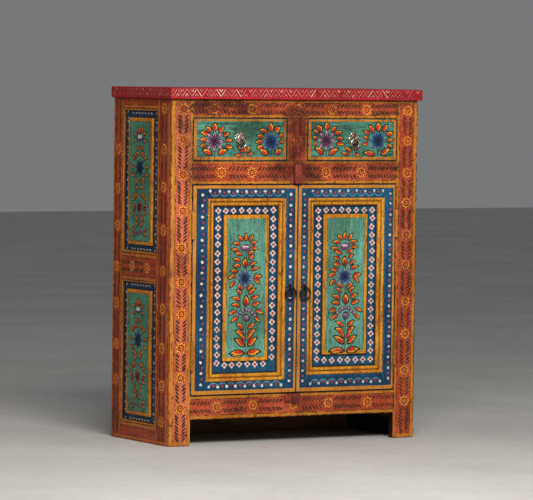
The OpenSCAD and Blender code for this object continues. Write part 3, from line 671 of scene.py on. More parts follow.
# ---------------------------------------------------------------- the cabinet
# darker towards the floor; the strip just under the top board is painted shade under its overhang
def low_grime_and_shade_under_top(p):
    return max(0.0, 0.5 - p.z / 60.0) * 0.7 + (0.5 if p.z > H1 - 6 and p.z < H1 + 0.5 else 0.0)


boards("top_board", "cabinet", [((-367.3, -161.6, H1 + 0.25), (367.3, 166.6, H - 0.3))], M["red"], 1.6, 22, ("top_board",))
for s, x0, x1, m in (("left", -HW, -SX, "pink_z"), ("right", SX, HW, "coral_z")):
    # the stiles' faces in the openings and their backs are painted near black: painted shade inside the cabinet;
    # elsewhere darker towards the floor
    boards("front_stile_" + s, "cabinet", [((x0, F, 0.0), (x1, FI, H1))], M[m], 1.1, 24, ("front_stile_" + s,),
           lambda p: 2.0 if (abs(p.x) < SX + 0.6 and p.y > F + 2.5) or p.y > FI - 0.5 else low_grime_and_shade_under_top(p))
boards("front_stile_centre", "cabinet", [((MX0, F, 717.0), (MX1, FI, 824.0))], M["coral_z"], 0.9, 20, ("front_stile_centre",), lambda p: 0.35)
boards("front_rail_top", "cabinet", [((-SX, F + 0.1, 824.0), (SX, FI, H1))], M["coral_x"], 0.9, 24, ("front_rail_top",), low_grime_and_shade_under_top)
boards("front_rail_middle", "cabinet", [((-SX, F + 0.05, 657.0), (SX, FI, 717.0))], M["coral_x"], 0.9, 24, ("front_rail_middle",))
# every face of the bottom rail but the front is painted near black: painted shade under and behind it
boards("front_rail_bottom", "cabinet", [((-SX, F + 0.05, 66.0), (SX, FI, 126.0))], M["coral_x"], 1.1, 24, ("front_rail_bottom",),
       lambda p: 2.0 if p.y > F + 2.5 else 0.0)

for s, sg in (("left", -1), ("right", 1)):
    xs = sorted((sg * HW, sg * SI))

    # the side frames' inner faces are painted near black: painted shade inside the cabinet
    def shade_inside(p):
        return 2.0 if abs(p.x) < SI + 0.9 else low_grime_and_shade_under_top(p)
    boards(f"side_{s}_stile_front", "cabinet", [((xs[0], FI, 0.0), (xs[1], -75.0, H1))], M["rust_z"], 1.0, 24, (f"side_{s}_stile_front",), shade_inside)
    boards(f"side_{s}_stile_back", "cabinet", [((xs[0], 116.0, 0.0), (xs[1], B - 0.35, H1))], M["rust_z"], 1.0, 24, (f"side_{s}_stile_back",), shade_inside)
    boards(f"side_{s}_rails", "cabinet", [((xs[0], -75.0, z0), (xs[1], 116.0, z1)) for z0, z1 in ((0.0, 45.0), (408.0, 478.0), (844.5, H1))],
           M["rust_y"], 1.0, 24, (f"side_{s}_rails",), shade_inside)
    gx = sorted((sg * 351, sg * 346))

    def shade(p):
        return 0.25 if p.z > 0 else 0
    boards(f"side_{s}_panel_grounds", "cabinet", [((gx[0], -76.0, z0), (gx[1], 117.0, z1)) for z0, z1 in ((44.0, 409.0), (477.0, 845.5))],
           M["navy"], 0.5, 26, (f"side_{s}_panels",), shade)
    bx = sorted((sg * 346.5, sg * 343))
    boards(f"side_{s}_panel_backs", "cabinet", [((bx[0], -75.5, z0), (bx[1], 116.5, z1)) for z0, z1 in ((44.5, 408.5), (477.5, 845.0))],
           M["wood_z"], 0.4, 30, (), lambda p: 0.3)
    fx = sorted((sg * 357, sg * 350))
    boards(f"side_{s}_panel_fields", "cabinet", [((fx[0], -43.0, z0), (fx[1], 88.0, z1)) for z0, z1 in ((66.0, 385.0), (499.0, 821.5))],
           M["ochre_side"], 2.2, 24, ())
    tx = sorted((sg * 357.3, sg * 355.0))
    boards(f"side_{s}_panel_paint", "cabinet", [((tx[0], -33.5, z0), (tx[1], 78.5, z1)) for z0, z1 in ((76.0, 375.5), (509.0, 812.0))],
           M["turq_side"], 0.25, 24, ())
    side = SIDES[s].deeper(7.0)
    # third column darkens both feet of the moulding towards near black: painted shade in the creases
    prof = [(0.0, 0.0, 1.5, 0), (6.2, -0.4, 1.8, 0), (6.2, 0.8, 1.8, 0), (5.6, 2.4, 1.5, 0), (4.7, 4.4, 1.0, 0), (3.4, 5.9, .2, .6), (2.0, 6.5, 0, 1), (0.9, 6.3, .3, .6), (0.0, 5.6, 1.2, 0)]
    for i, (z0, z1) in enumerate(((45.0, 408.0), (478.0, 844.5))):
        moulding(f"side_{s}_moulding_{'lower' if i == 0 else 'upper'}", "cabinet", side, 75.0, z0, 266.0, z1, prof, M["ochre_side"],
                 ("side_mouldings",))

boards("back_stiles", "cabinet", [((-344.0, BI, 0.0), (-239.0, B, H1)), ((239.0, BI, 0.0), (344.0, B, H1))], M["wood_z"], 0.8, 30, ("back_stiles",), low_grime_and_shade_under_top)
boards("back_rails", "cabinet", [((-239.0, BI + 0.2, z0), (239.0, B - 0.2, z1)) for z0, z1 in ((0.0, 90.0), (400.0, 470.0), (791.5, H1))], M["wood_x"], 0.8, 30, ("back_rails",), low_grime_and_shade_under_top)
boards("back_panels", "cabinet", [((-240.0, BI + 4, z0), (240.0, BI + 12, z1)) for z0, z1 in ((89.0, 401.0), (469.0, 792.5))], M["wood_z"], 0.4, 30, ("back_panels",), lambda p: 0.2)
boards("floor_board", "cabinet", [((-SI, FI, 106.0), (SI, BI, 120.0))], M["wood_x"], 0.7, 30, ("floor_board",))
boards("shelf_board", "cabinet", [((-SI, -118.0, 392.0), (SI, BI, 408.0))], M["wood_x"], 1.0, 30, ("shelf_board",))
boards("dust_board", "cabinet", [((-SI, FI, 703.0), (SI, BI, 717.0))], M["wood_x"], 0.7, 30, ("dust_board",))
for n, k in (("shelf_bearers", "wood_y"), ("drawer_guides_and_kickers", "wood_y")):
    cad_copy(n, n, "cabinet", M[k], 0.8, 60.0)

# ---------------------------------------------------------------- doors
# third column darkens the feet and the groove of the moulding: grime with painted shade in the creases
DOOR_MOULD = [(0.0, -0.6, .5, 0), (19.5, -0.6, .9, 0), (19.5, 1.2, .8, 0), (18.6, 3.0, .35, .2), (17.4, 4.9, 0.05, .6), (16.3, 5.9, 0, .7), (15.2, 6.55, 0, .9), (14.0, 6.7, 0, .9),
              (12.8, 6.5, 0, .6), (11.6, 5.9, .2, .3), (10.7, 4.9, .75, 0), (9.9, 4.0, 1, 0), (9.2, 3.9, 1, 0), (8.5, 4.3, .9, 0), (7.6, 5.6, .3, .3), (6.4, 7.0, .05, .6), (5.0, 7.9, 0, .9),
              (3.6, 8.3, 0, 1), (2.2, 8.3, 0, 1), (1.1, 7.9, .1, .7), (0.4, 7.1, .6, .2), (0.0, 6.3, .9, 0)]
DOORS = {"left": (DL, -1), "right": (DR, 1)}
for s, (d, sg) in DOORS.items():
    b = "door_" + s
    x0, xa, xb, x1, za, zb = d
    st = ((x0, xa), (xb, x1))
    names = ("stile_outer", "stile_meeting") if s == "left" else ("stile_meeting", "stile_outer")
    for nm, (a, c) in zip(names, st):
        boards(f"{b}_{nm}", b, [((a, F, DZ0), (c, FI, DZ1))], M["blue_z"], 1.0, 24, (f"{b}_{nm}",))
    boards(f"{b}_rails", b, [((xa, F + 0.1, DZ0), (xb, FI, za)), ((xa, F + 0.1, zb), (xb, FI, DZ1))], M["blue_x"], 1.0, 24, (f"{b}_rails",))
    fx0, fx1, fz0, fz1 = (-205.0, -75.5, 210.5, 580.5) if s == "left" else (85.3, 215.0, 220.5, 580.5)
    boards(f"{b}_panel_ground", b, [((xa - 1, F + GROUND, za - 1), (xb + 1, FI - 5.5, zb + 1))], M["blue_z"], 0.4, 22, (f"{b}_panel",))
    boards(f"{b}_panel_field", b, [((fx0, F + FIELD, fz0), (fx1, F + GROUND + 1, fz1))], M["ochre"], 2.2, 22, ())
    boards(f"{b}_panel_paint", b, [((fx0 + 9.2, F + FIELD - 0.3, fz0 + 10.0), (fx1 - 9.2, F + FIELD + 1.5, fz1 - 9.6))], M["turq"], 0.25, 22, ())
    moulding(f"{b}_moulding", b, GROUND_P, xa, za, xb, zb, DOOR_MOULD, M["ochre"], (f"{b}_moulding",), 24.0)

# ---------------------------------------------------------------- drawers
for s in ("left", "right"):
    b = "drawer_" + s
    cad_copy(b + "_front", b + "_front", b, M["turq_drawer"], 0.8, 22.0)
    cad_copy(b + "_sides", b + "_sides", b, M["wood_y"], 0.5, 40.0)
    cad_copy(b + "_back", b + "_back", b, M["wood_x"], 0.6, 40.0)
    cad_copy(b + "_bottom", b + "_bottom", b, M["wood_x"], 0.4, 40.0)


# ---------------------------------------------------------------- iron and bronze
class Solid:
    def __init__(self):
        self.v, self.f = [], []

    def tube(self, pts, r, n=12, closed=False, taper=None, wob=0.0, seed=0.0):
        m = len(pts)
        base = len(self.v)
        up = None
        frames = []
        for i in range(m):
            a = Vector(pts[(i - 1) % m if closed else max(0, i - 1)])
            b = Vector(pts[(i + 1) % m if closed else min(m - 1, i + 1)])
            t = (b - a).normalized()
            if up is None:
                up = t.orthogonal().normalized()
            up = (up - t * up.dot(t)).normalized()
            frames.append((t, up.copy(), t.cross(up)))
        for i, p in enumerate(pts):
            t, u, w = frames[i]
            k = taper(i / (m - 1)) if taper else 1.0
            for j in range(n):
                a = 2 * math.pi * j / n
                d = u * math.cos(a) + w * math.sin(a)
                rr = r * k * (1 + wob * noise.noise(Vector(p) * 0.35 + d * 1.3 + Vector((seed, 0, 0))))
                self.v.append(Vector(p) + d * rr)
        if closed:
            # rotate the seam onto itself as well as it goes
            t0, u0, w0 = frames[0]
            t, u, w = frames[-1]
            ang = math.atan2(u.dot(w0), u.dot(u0))
            shift = int(round(ang / (2 * math.pi) * n)) % n
        for i in range(m if closed else m - 1):
            i2 = (i + 1) % m
            sh = shift if closed and i2 == 0 else 0
            for j in range(n):
                self.f.append([base + i * n + j, base + i * n + (j + 1) % n, base + i2 * n + (j + 1 + sh) % n, base + i2 * n + (j + sh) % n])
        if not closed:
            self.f.append([base + j for j in reversed(range(n))])
            self.f.append([base + (m - 1) * n + j for j in range(n)])

    def lathe(self, o, axis, prof, n=28, lobes=0, lobe=0.0, ph=0.0, squash=None):
        """turned about an axis; prof is (distance along the axis, radius) from one pole to the other"""
        o = Vector(o); ax = Vector(axis).normalized()
        u = ax.orthogonal().normalized(); w = ax.cross(u)
        base = len(self.v)
        rows = []
        for i, (h, r) in enumerate(prof):
            row = []
            if r < 1e-4:
                row = [len(self.v)]
                self.v.append(o + ax * h)
            else:
                for j in range(n):
                    a = 2 * math.pi * j / n + ph
                    k = 1 + (lobe * (abs(math.cos(lobes * a / 2)) - 0.6) * min(1.0, r / 9.0) if lobes else 0)
                    row.append(len(self.v))
                    self.v.append(o + ax * h + (u * math.cos(a) + w * math.sin(a)) * r * k)
            rows.append(row)
        for a, b in zip(rows, rows[1:]):
            if len(a) == 1:
                for j in range(n):
                    self.f.append([a[0], b[j], b[(j + 1) % n]])
            elif len(b) == 1:
                for j in range(n):
                    self.f.append([a[(j + 1) % n], a[j], b[0]])
            else:
                for j in range(n):
                    self.f.append([a[j], b[j], b[(j + 1) % n], a[(j + 1) % n]])

    def build(self, name, body, mat, replaces=(), slot=None, sharp=45):
        o = finish_mesh(name, body, self.v, self.f, mat, None, None, replaces, sharp)
        fix_normals(o)
        return o


def ring_pts(cx, y, cz, R, n=44, lean=0.0):
    return [(cx + R * math.sin(2 * math.pi * i / n), y, cz + R * math.cos(2 * math.pi * i / n) * (1 + lean)) for i in range(n)]


def eye_pts(x, cy, cz, R, n=26):
    return [(x, cy + R * math.cos(2 * math.pi * i / n), cz + R * math.sin(2 * math.pi * i / n)) for i in range(n)]


for s, x in (("left", -15.5), ("right", 26.5)):
    r = Solid()
    r.tube(ring_pts(x, -158.5, 379.5, 15.0), 2.15, 14, True, wob=0.10, seed=x)
    r.build(f"door_{s}_ring", f"ring_door_{s}", M["iron"], (f"door_{s}_ring",), "black_iron", 60)
    p = Solid()
    p.tube(eye_pts(x, -158.5, 394.5, 4.6), 1.55, 12, True, wob=0.08, seed=x)
    p.lathe((x, F, 394.5), (0, -1, 0), [(-0.5, 0), (-0.5, 7.3), (0.3, 7.9), (0.8, 7.7), (1.2, 6.6), (1.5, 4.6), (2.0, 3.4), (2.6, 2.5), (4.2, 2.15), (4.4, 0)], 32)
    p.lathe((x, F + 22, 394.5), (0, -1, 0), [(0, 0), (0, 2.2), (22, 2.2), (22, 0)], 14)
    p.lathe((x, FI, 394.5), (0, 1, 0), [(-0.3, 0), (-0.3, 4.4), (0.9, 4.6), (1.5, 3.9), (1.8, 2.3), (1.9, 0)], 20)
    p.build(f"door_{s}_pull_staple", f"door_{s}", M["iron"], (f"door_{s}_pull_staple",), "black_iron", 50)
for s, x in (("left", -162.0), ("right", 169.0)):
    r = Solid()
    r.tube(ring_pts(x, -158.0, 760.5, 11.5), 1.66, 14, True, wob=0.08, seed=x)
    r.build(f"drawer_{s}_ring", f"ring_drawer_{s}", M["bronze"], (f"drawer_{s}_ring",), "bronze", 60)
    p = Solid()
    p.tube(eye_pts(x, -158.0, 772.0, 3.8), 1.27, 12, True, wob=0.06, seed=x)
    p.lathe((x, F, 775.0), (0, -1, 0), [(-0.5, 0), (-0.5, 13.6), (0.2, 14.1), (0.8, 13.7), (1.25, 12.2), (1.4, 10.2), (1.05, 8.9), (1.0, 8.1), (1.7, 7.7), (2.1, 6.4), (2.2, 4.6), (2.5, 2.2), (2.6, 0)], 80, 10, 0.24)
    p.lathe((x, F, 772.0), (0, -1, 0), [(0, 0), (0, 1.8), (4.5, 1.8), (4.6, 0)], 14)
    p.lathe((x, F + 22, 772.0), (0, -1, 0), [(0, 0), (0, 1.8), (22, 1.8), (22, 0)], 14)
    p.lathe((x, FI, 772.0), (0, 1, 0), [(-0.3, 0), (-0.3, 4.0), (0.8, 4.2), (1.4, 3.4), (1.6, 1.9), (1.6, 0)], 20)
    p.build(f"drawer_{s}_pull_plate", f"drawer_{s}", M["bronze"], (f"drawer_{s}_pull_plate",), "bronze", 50)


for n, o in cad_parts.items():
    if n.endswith("hinge_leaves") or n == "hinge_frame_leaves":
        for i in range(len(o.data.materials)):
            o.data.materials[i] = M["hinge"]
    elif n.endswith("hinge_screws") or n in ("hinge_frame_screws", "hinge_pins", "turn_button_nails"):
        for i in range(len(o.data.materials)):
            o.data.materials[i] = M["steel"]


# turn buttons: hand-cut blocks, thicker in the middle, corners rubbed round
def belly(cz, hz, cx, hx):
    def f(p):
        k = min(1.0, abs(p.z - cz) / hz)
        kx = min(1.0, abs(p.x - cx) / hx)
        if p.y < -158:
            p = Vector((p.x, p.y + 1.6 * k ** 2 + 1.0 * kx ** 3, p.z))
        return p
    return f


boards("turn_button_top", "button_top", [((-8.0, -165.0, 658.0), (12.0, -151.0, 708.0))], M["button"], 2.4, 7, ("turn_button_top",), None, belly(683, 25, 2, 10))
boards("turn_button_bottom", "button_bottom", [((-8.0, -165.0, 102.5), (14.0, -151.0, 125.0)), ((-28.0, -160.0, 105.0), (-6.5, -151.2, 124.0))],
       M["button"], 2.2, 6, ("turn_button_bottom",), None, belly(114, 11, 2, 12))


# ---------------------------------------------------------------- ornament motifs
def w(s):
    return rnd.uniform(-s, s)


def stroke(ink, pl, u, v, du, dv, wd, col, layer=1):
    """one tapered touch of the brush"""
    c, d = w(0.6), w(0.6)
    pts = [(u - du * .5 + c, v - dv * .5 + d), (u - du * .22 + c * .5, v - dv * .2), (u + du * .15, v + dv * .2), (u + du * .5, v + dv * .5)]
    ink.ribbon(pl, pts, [wd * .35, wd, wd * 1.05, wd * .3], jit(col, 0.12), layer, 0.04)


LEAF_COLS = (lin(6, 30, 14), lin(6, 16, 8), lin(14, 42, 20), lin(22, 12, 8))


def sprig(ink, pl, horizontal, at, off, a, b, dim=0.0, pitch=6.7, pale=GREYG):
    """Two rows of slanted leaf strokes along a band, leaning apart: at is the band's centre, a to b the run."""
    pitch = 9.0 if horizontal else 8.2
    n = max(1, int((b - a) / pitch))
    for row in (-1, 1):
        for i in range(n):
            t = a + (b - a) * (i + 0.5) / n + w(0.8)
            o = at + row * off + w(0.7)
            c = LEAF_COLS[rnd.randrange(4)]
            c = lerp(c, RUST, dim)
            if horizontal:
                stroke(ink, pl, t, o, 9.8, 10.2 * row, 4.3 + w(0.5), c)
                if rnd.random() < 0.25:
                    stroke(ink, pl, t + pitch * 0.5, o - 0.5, 6.0, 7.0 * row, 1.1, lerp(pale, CORAL, 0.25 + dim * .5))
            else:
                stroke(ink, pl, o, t, 10.2, 9.8 * row, 4.2 + w(0.5), c)
                if rnd.random() < 0.2:
                    stroke(ink, pl, o - 0.3 * row, t + pitch * 0.5, 7.6, 5.6 * row, 1.0, lerp(pale, PINK, 0.25 + dim * .5))
        if row == -1:
            continue


def rosette(ink, pl, u, v, r=12.0, a=YELLOW, b=ORANGE, dim=0.0):
    """a ring of eight yellow-rimmed red petals round a red heart with yellow specks"""
    a = lerp(lin(240, 178, 58), RUST, dim); b = lerp(lin(186, 34, 20), RUST, dim * .6)
    n = 8
    ph = w(0.4)
    for i in range(n):
        t = ph + 2 * math.pi * (i + .5) / n
        ink.disc(pl, u + r * 1.0 * math.cos(t), v + r * 1.0 * math.sin(t), r * .15, jit(lin(96, 26, 14), .2), 0, 6)
    for i in range(n):
        t = ph + 2 * math.pi * i / n
        ink.disc(pl, u + r * .72 * math.cos(t), v + r * .72 * math.sin(t), r * .38 + w(.3), jit(a, .1), 1, 8, ry=r * .32, rot=t)
    for i in range(n):
        t = ph + 2 * math.pi * i / n
        ink.disc(pl, u + r * .70 * math.cos(t), v + r * .70 * math.sin(t), r * .23, jit(b, .12), 2, 8, ry=r * .18, rot=t)
    for i in range(n):
        t = ph + 2 * math.pi * (i + .5) / n
        ink.disc(pl, u + r * .52 * math.cos(t), v + r * .52 * math.sin(t), r * .14, jit(lin(84, 18, 10), .2), 3, 6)
    ink.disc(pl, u, v, r * .47, jit(b, .1), 3, 9)
    for i in range(5):
        t = ph + 2 * math.pi * i / 5
        ink.disc(pl, u + r * .27 * math.cos(t), v + r * .27 * math.sin(t), r * .12, jit(a, .12), 4, 6)
    ink.disc(pl, u, v, r * .14, jit(lin(96, 22, 12), .1), 5, 6)


def framed_band(ink, pl, horizontal, at, runs, ros, off=10.0, dim=0.0, r=12.0, ca=YELLOW, cb=ORANGE, pitch=6.7):
    """leaf strokes over the runs and rosettes at their places"""
    for a, b in runs:
        sprig(ink, pl, horizontal, at, off, a, b, dim, pitch)
    for c in ros:
        u, v = (c, at) if horizontal else (at, c)
        rosette(ink, pl, u + w(1.2), v + w(1.0), r + w(.6), ca, cb, dim)


def runs_between(a, b, ros, gap=16.0):
    edges = [a] + sorted(ros) + [b]
    out = []
    for i in range(len(edges) - 1):
        lo = edges[i] + (gap if i > 0 else 4.0)
        hi = edges[i + 1] - (gap if i < len(edges) - 2 else 4.0)
        if hi - lo > 14:
            out.append((lo, hi))
    return out


def blossom(ink, pl, u, v, r, body, tip, dark, n=8, outline=BLACK, heart=None, white=None):
    """an open flower: pointed pale petals outlined dark, each with a darker petal laid on it and a dark vein"""
    ph = w(.08)
    for i in range(n):
        t = ph + 2 * math.pi * i / n + w(.06)
        rr = r * (1.04 if i % 2 else .94) * (1 + w(.04))
        ink.petal(pl, u, v, t, 2.0, rr, r * .30, lerp(body, tip, .4), tip, outline, 1)
        ink.petal(pl, u, v, t + w(.04), 1.0, rr * .78, r * .17, lerp(dark, body, .35), body, None, 3)
        stroke(ink, pl, u + r * .42 * math.cos(t), v + r * .42 * math.sin(t), r * .60 * math.cos(t), r * .60 * math.sin(t), 1.3, lerp(dark, BLACK, .3), 5)
    for i in range(n):
        t = ph + 2 * math.pi * (i + .5) / n
        stroke(ink, pl, u + r * .40 * math.cos(t), v + r * .40 * math.sin(t), r * .46 * math.cos(t), r * .46 * math.sin(t), 2.4, lerp(dark, BLACK, .75), 5)
    ink.disc(pl, u, v, r * .15, heart or lerp(dark, BLACK, .5), 6, 9)


def daisy(ink, pl, u, v, r=8.8, col=lin(214, 196, 190), heart=lin(150, 44, 30)):
    """small white flower of four petals with a red heart"""
    ph = w(.15)
    ink.disc(pl, u, v, r * .68, jit(lerp(col, PINK, .22), .05), 1, 9)
    for i in range(4):
        t = ph + math.pi / 2 * i
        ink.disc(pl, u + r * .56 * math.cos(t), v + r * .56 * math.sin(t), r * .43, jit(col, .06), 2, 8, ry=r * .37, rot=t)
    ink.disc(pl, u + w(.5), v + w(.5), r * .40, jit(heart, .15), 3, 8)


DULL = lin(216, 208, 188)


def dot(ink, pl, u, v, r, col, layer=2):
    ink.disc(pl, u + w(.5), v + w(.5), r * (1 + w(.1)), jit(col, .08), layer, 9, ry=r * (1 + w(.12)))


def arc(ink, pl, u0, v0, u1, v1, bulge, wd, col):
    n = 8
    dx, dy = u1 - u0, v1 - v0
    l = math.hypot(dx, dy)
    nx, ny = -dy / l, dx / l
    pts, ws = [], []
    for i in range(n + 1):
        t = i / n
        k = 4 * t * (1 - t) * bulge
        pts.append((u0 + dx * t + nx * k, v0 + dy * t + ny * k))
        ws.append(wd * (.55 + .6 * math.sin(math.pi * t)))
    ink.ribbon(pl, pts, ws, jit(col, .1), 1, 0.03)


# ---------------------------------------------------------------- front frame
ink = Ink("front_frame_ornament", "cabinet", M["ink"])
P = FRONT
HON = lin(214, 150, 44)
for (x, z0, z1, wd, c) in ((-352.4, 2, H1 - 2, 9.5, HON), (352.6, 2, H1 - 2, 8.5, lin(198, 124, 26)), (-301.6, 3, 868, 7.6, lin(206, 140, 44)), (301.6, 3, 868, 7.2, lin(190, 116, 28)),
                           (-24.2, 720, 822, 5.8, lin(180, 100, 30)), (28.8, 720, 822, 5.8, lin(192, 116, 28))):
    ink.band(P, x, z0, x, z1, wd, c, 0, .5, 9, OCHRE_D)
for (z, xa, xb, wd, c) in ((867.0, -346, 347, 7.0, lin(194, 120, 30)), (828.9, -298, 300, 7.8, lin(194, 118, 24)), (712.4, -296, 298, 6.6, lin(184, 100, 34)), (661.9, -299, 299, 7.8, lin(202, 136, 36)),
                           (121.0, -298, 298, 7.6, lin(196, 126, 32)), (71.2, -296, 296, 8.2, lin(196, 128, 32))):
    ink.band(P, xa, z, xb, z, wd, c, 0, .5, 9, OCHRE_D)
ros_l = [95, 172, 248, 333, 412, 498, 592, 682, 770, 848]
ros_r = [95, 175, 270, 353, 447, 525, 607, 685, 768, 845]
framed_band(ink, P, False, -325.5, runs_between(8, 856, ros_l), ros_l, 9.6, 0.05, 12.5)
framed_band(ink, P, False, 329.5, runs_between(14, 856, ros_r), ros_r, 9.6, 0.12, 12.0)
framed_band(ink, P, True, 848.0, [(-305, -252), (-212, -142), (-104, -32), (14, 80), (120, 190), (222, 304)], [-237, -128, 104, 206], 8.8, 0.18, 12.5)
framed_band(ink, P, True, 687.0, [(-305, -232), (-195, -142), (-110, -30), (30, 70), (108, 178), (212, 304)], [-214, -127, 87, 193], 10.2, 0.15, 12.5)
framed_band(ink, P, True, 97.0, [(-300, -238), (-204, -134), (-100, -32), (26, 86), (120, 202), (236, 302)], [-222, -118, 103, 220], 10.4, 0.18, 12.0)
rosette(ink, P, 0, 96, 11.5, dim=.2)
framed_band(ink, P, False, 2.5, [(724, 752), (784, 828)], [768, 848], 9.0, 0.3, 11.5)
# the pinkish patch rubbed bare beside the upper turn button
for du, dv, r, c in ((-13, 669, 7.5, lin(196, 124, 104)), (-11, 677, 5.2, lin(206, 140, 120)), (-14, 661, 5.0, lin(170, 92, 78)), (-17, 672, 4.0, lin(190, 112, 92))):
    ink.disc(P, du, dv, r * .8, c, 2, 11, ry=r * 1.1)
for (xa, xb) in ((-356.5, -299), (299, 356.5)):
    ink.band(P, xa, 6.5, xb, 6.5, 8.0, lin(190, 122, 34), 2, .8, 6, OCHRE_D)
ink.build("coral_paint")

# painted shade along the joints around the doors and drawers
ink = Ink("front_frame_shadow_and_outline_lines", "cabinet", M["ink"])
SHADE = lin(70, 30, 16)
for (xa, za, xb, zb, wd) in ((-297.9, 716, -297.9, 824, 1.6), (-297, 717.0 - .9, -28, 717.0 - .9, 1.8), (34, 716.1, 297, 716.1, 1.8), (32.2, 717, 32.2, 824, 1.4), (-27.2, 717, -27.2, 824, 1.4),
                             (-297, 824.9, -28, 824.9, 1.6), (33, 824.9, 297, 824.9, 1.6), (297.9, 716, 297.9, 824, 1.4), (-296, 657.9, 296, 657.9, 1.6), (-296, 125.1, 296, 125.1, 1.6)):
    ink.band(P, xa, za, xb, zb, wd, SHADE, 3, .3, 7)
    ox, oz = (0, 1.6 if za > 770 or za < 200 and za > 120 or za > 650 and za < 660 else -1.6) if xa != xb else ((-1.4 if xa < 0 and xa > -200 or xa > 200 else -1.4), 0)
    ink.dashes(P, xa, za + .3, xb + .01, zb + .3, wd * 1.2, lin(22, 12, 8), .8, 4)
# broken dark outlines in the paint along the edges of the ochre strips
DARK = lin(52, 20, 10)
for (xa, za, xb, zb, wd, den) in ((-357.3, 2, -357.3, 869, 1.4, .5), (-346.9, 2, -346.9, 869, 1.2, .45), (-305.8, 2, -305.8, 869, 1.3, .5), (-298.3, 66, -298.3, 869, 1.6, .6), (305.6, 2, 305.6, 869, 1.5, .6), (347.9, 2, 347.9, 869, 1.5, .6),
                                  (357.4, 2, 357.4, 869, 1.6, .7), (298.2, 66, 298.2, 869, 1.6, .7), (-345, 863.2, 346, 863.2, 1.4, .6), (-300, 832.9, 300, 832.9, 1.5, .6), (-296, 708.8, 296, 708.8, 1.4, .6),
                                  (-300, 666.1, 300, 666.1, 1.4, .55), (-298, 116.9, 298, 116.9, 1.5, .6), (-296, 75.6, 296, 75.6, 1.6, .6), (-296, 67.2, 296, 67.2, 1.6, .7), (-356, 870.7, 356, 870.7, 1.6, .8)):
    ink.dashes(P, xa, za, xb, zb, wd, DARK, den, 3)
ink.build("coral_paint")

# ---------------------------------------------------------------- top board's edge: nested chevrons
ink = Ink("top_edge_ornament", "cabinet", M["ink_door"])
TF = Plane((0, -161.6, 0), (1, 0, 0), (0, 0, 1), (0, -1, 0))
PALE = lin(222, 142, 124)


def chevrons(pl, u0, u1, period=29.0, dim=0.0, col=PALE, rows=(-12.0, 0.0, 12.0), wd=1.7, fade=2000.0):
    """nested zigzag lines, each leg one touch of the brush, kept between the edge's two plain strips"""
    zlo, zhi, amp, mid = 878.4, 896.8, 9.6, 887.6
    us = [u0]
    while us[-1] < u1:
        us.append(us[-1] + period / 2 * (1 + rnd.uniform(-.12, .12)))
    for k in range(len(us) - 1):
        up = k % 2 == 0
        for row in rows:
            ua, ub = us[k], us[k + 1]
            za, zb = (mid + row - amp, mid + row + amp) if up else (mid + row + amp, mid + row - amp)
            if za > zb:
                ua, ub, za, zb = ub, ua, zb, za
            lo_z, hi_z = max(za, zlo), min(zb, zhi)
            if hi_z - lo_z < 4.0:
                continue
            qa = ua + (ub - ua) * (lo_z - za) / (zb - za)
            qb = ua + (ub - ua) * (hi_z - za) / (zb - za)
            if max(qa, qb) > u1 or rnd.random() < .05:
                continue
            strong = rnd.random() < .14
            c = lerp(jit(lin(236, 204, 180) if strong else col, .10), RED, min(.8, dim + max(0, (qa + 100) / fade) + (0 if strong else rnd.uniform(0, .38))))
            j = w(.4)
            ww = wd * rnd.uniform(.85, 1.15)
            ink.ribbon(pl, [(qa + j, lo_z), ((qa + qb) / 2 + w(.4), (lo_z + hi_z) / 2), (qb + j, hi_z)], [ww * .7, ww, ww * .6], c, 1, .03)
            ink.ribbon(pl, [(qa + j + 2.4, lo_z), ((qa + qb) / 2 + 2.6, (lo_z + hi_z) / 2 - .4), (qb + j + 2.4, hi_z - .4)], [1.0, 1.6, 1.0], lerp(lin(92, 10, 16), RED, .1), 0, .02)


ink.band(TF, -365.5, 875.2, 365.5, 875.2, 4.4, lin(190, 36, 46), 0, .4, 9, lin(160, 24, 36))
ink.band(TF, -365.5, 898.0, 365.5, 898.0, 1.6, lin(170, 30, 42), 0, .3, 9)
chevrons(TF, -363, 364)
ink.dashes(TF, -366, 877.9, 366, 877.9, 1.1, lin(96, 14, 20), .5, 1)
for s, sg in (("left", -1), ("right", 1)):
    TS = Plane((sg * 367.3, F - 12, 0), (0, 1, 0), (0, 0, 1), (sg, 0, 0))
    keep = ink.lift
    ink.lift = lambda layer: 0.10 + 0.07 * layer
    chevrons(TS, 4, 325, 36.0, .28, lin(216, 130, 112), (-12.0, 0.0, 12.0), 1.7, 2600.0)
    ink.lift = keep
ink.build("red_paint")


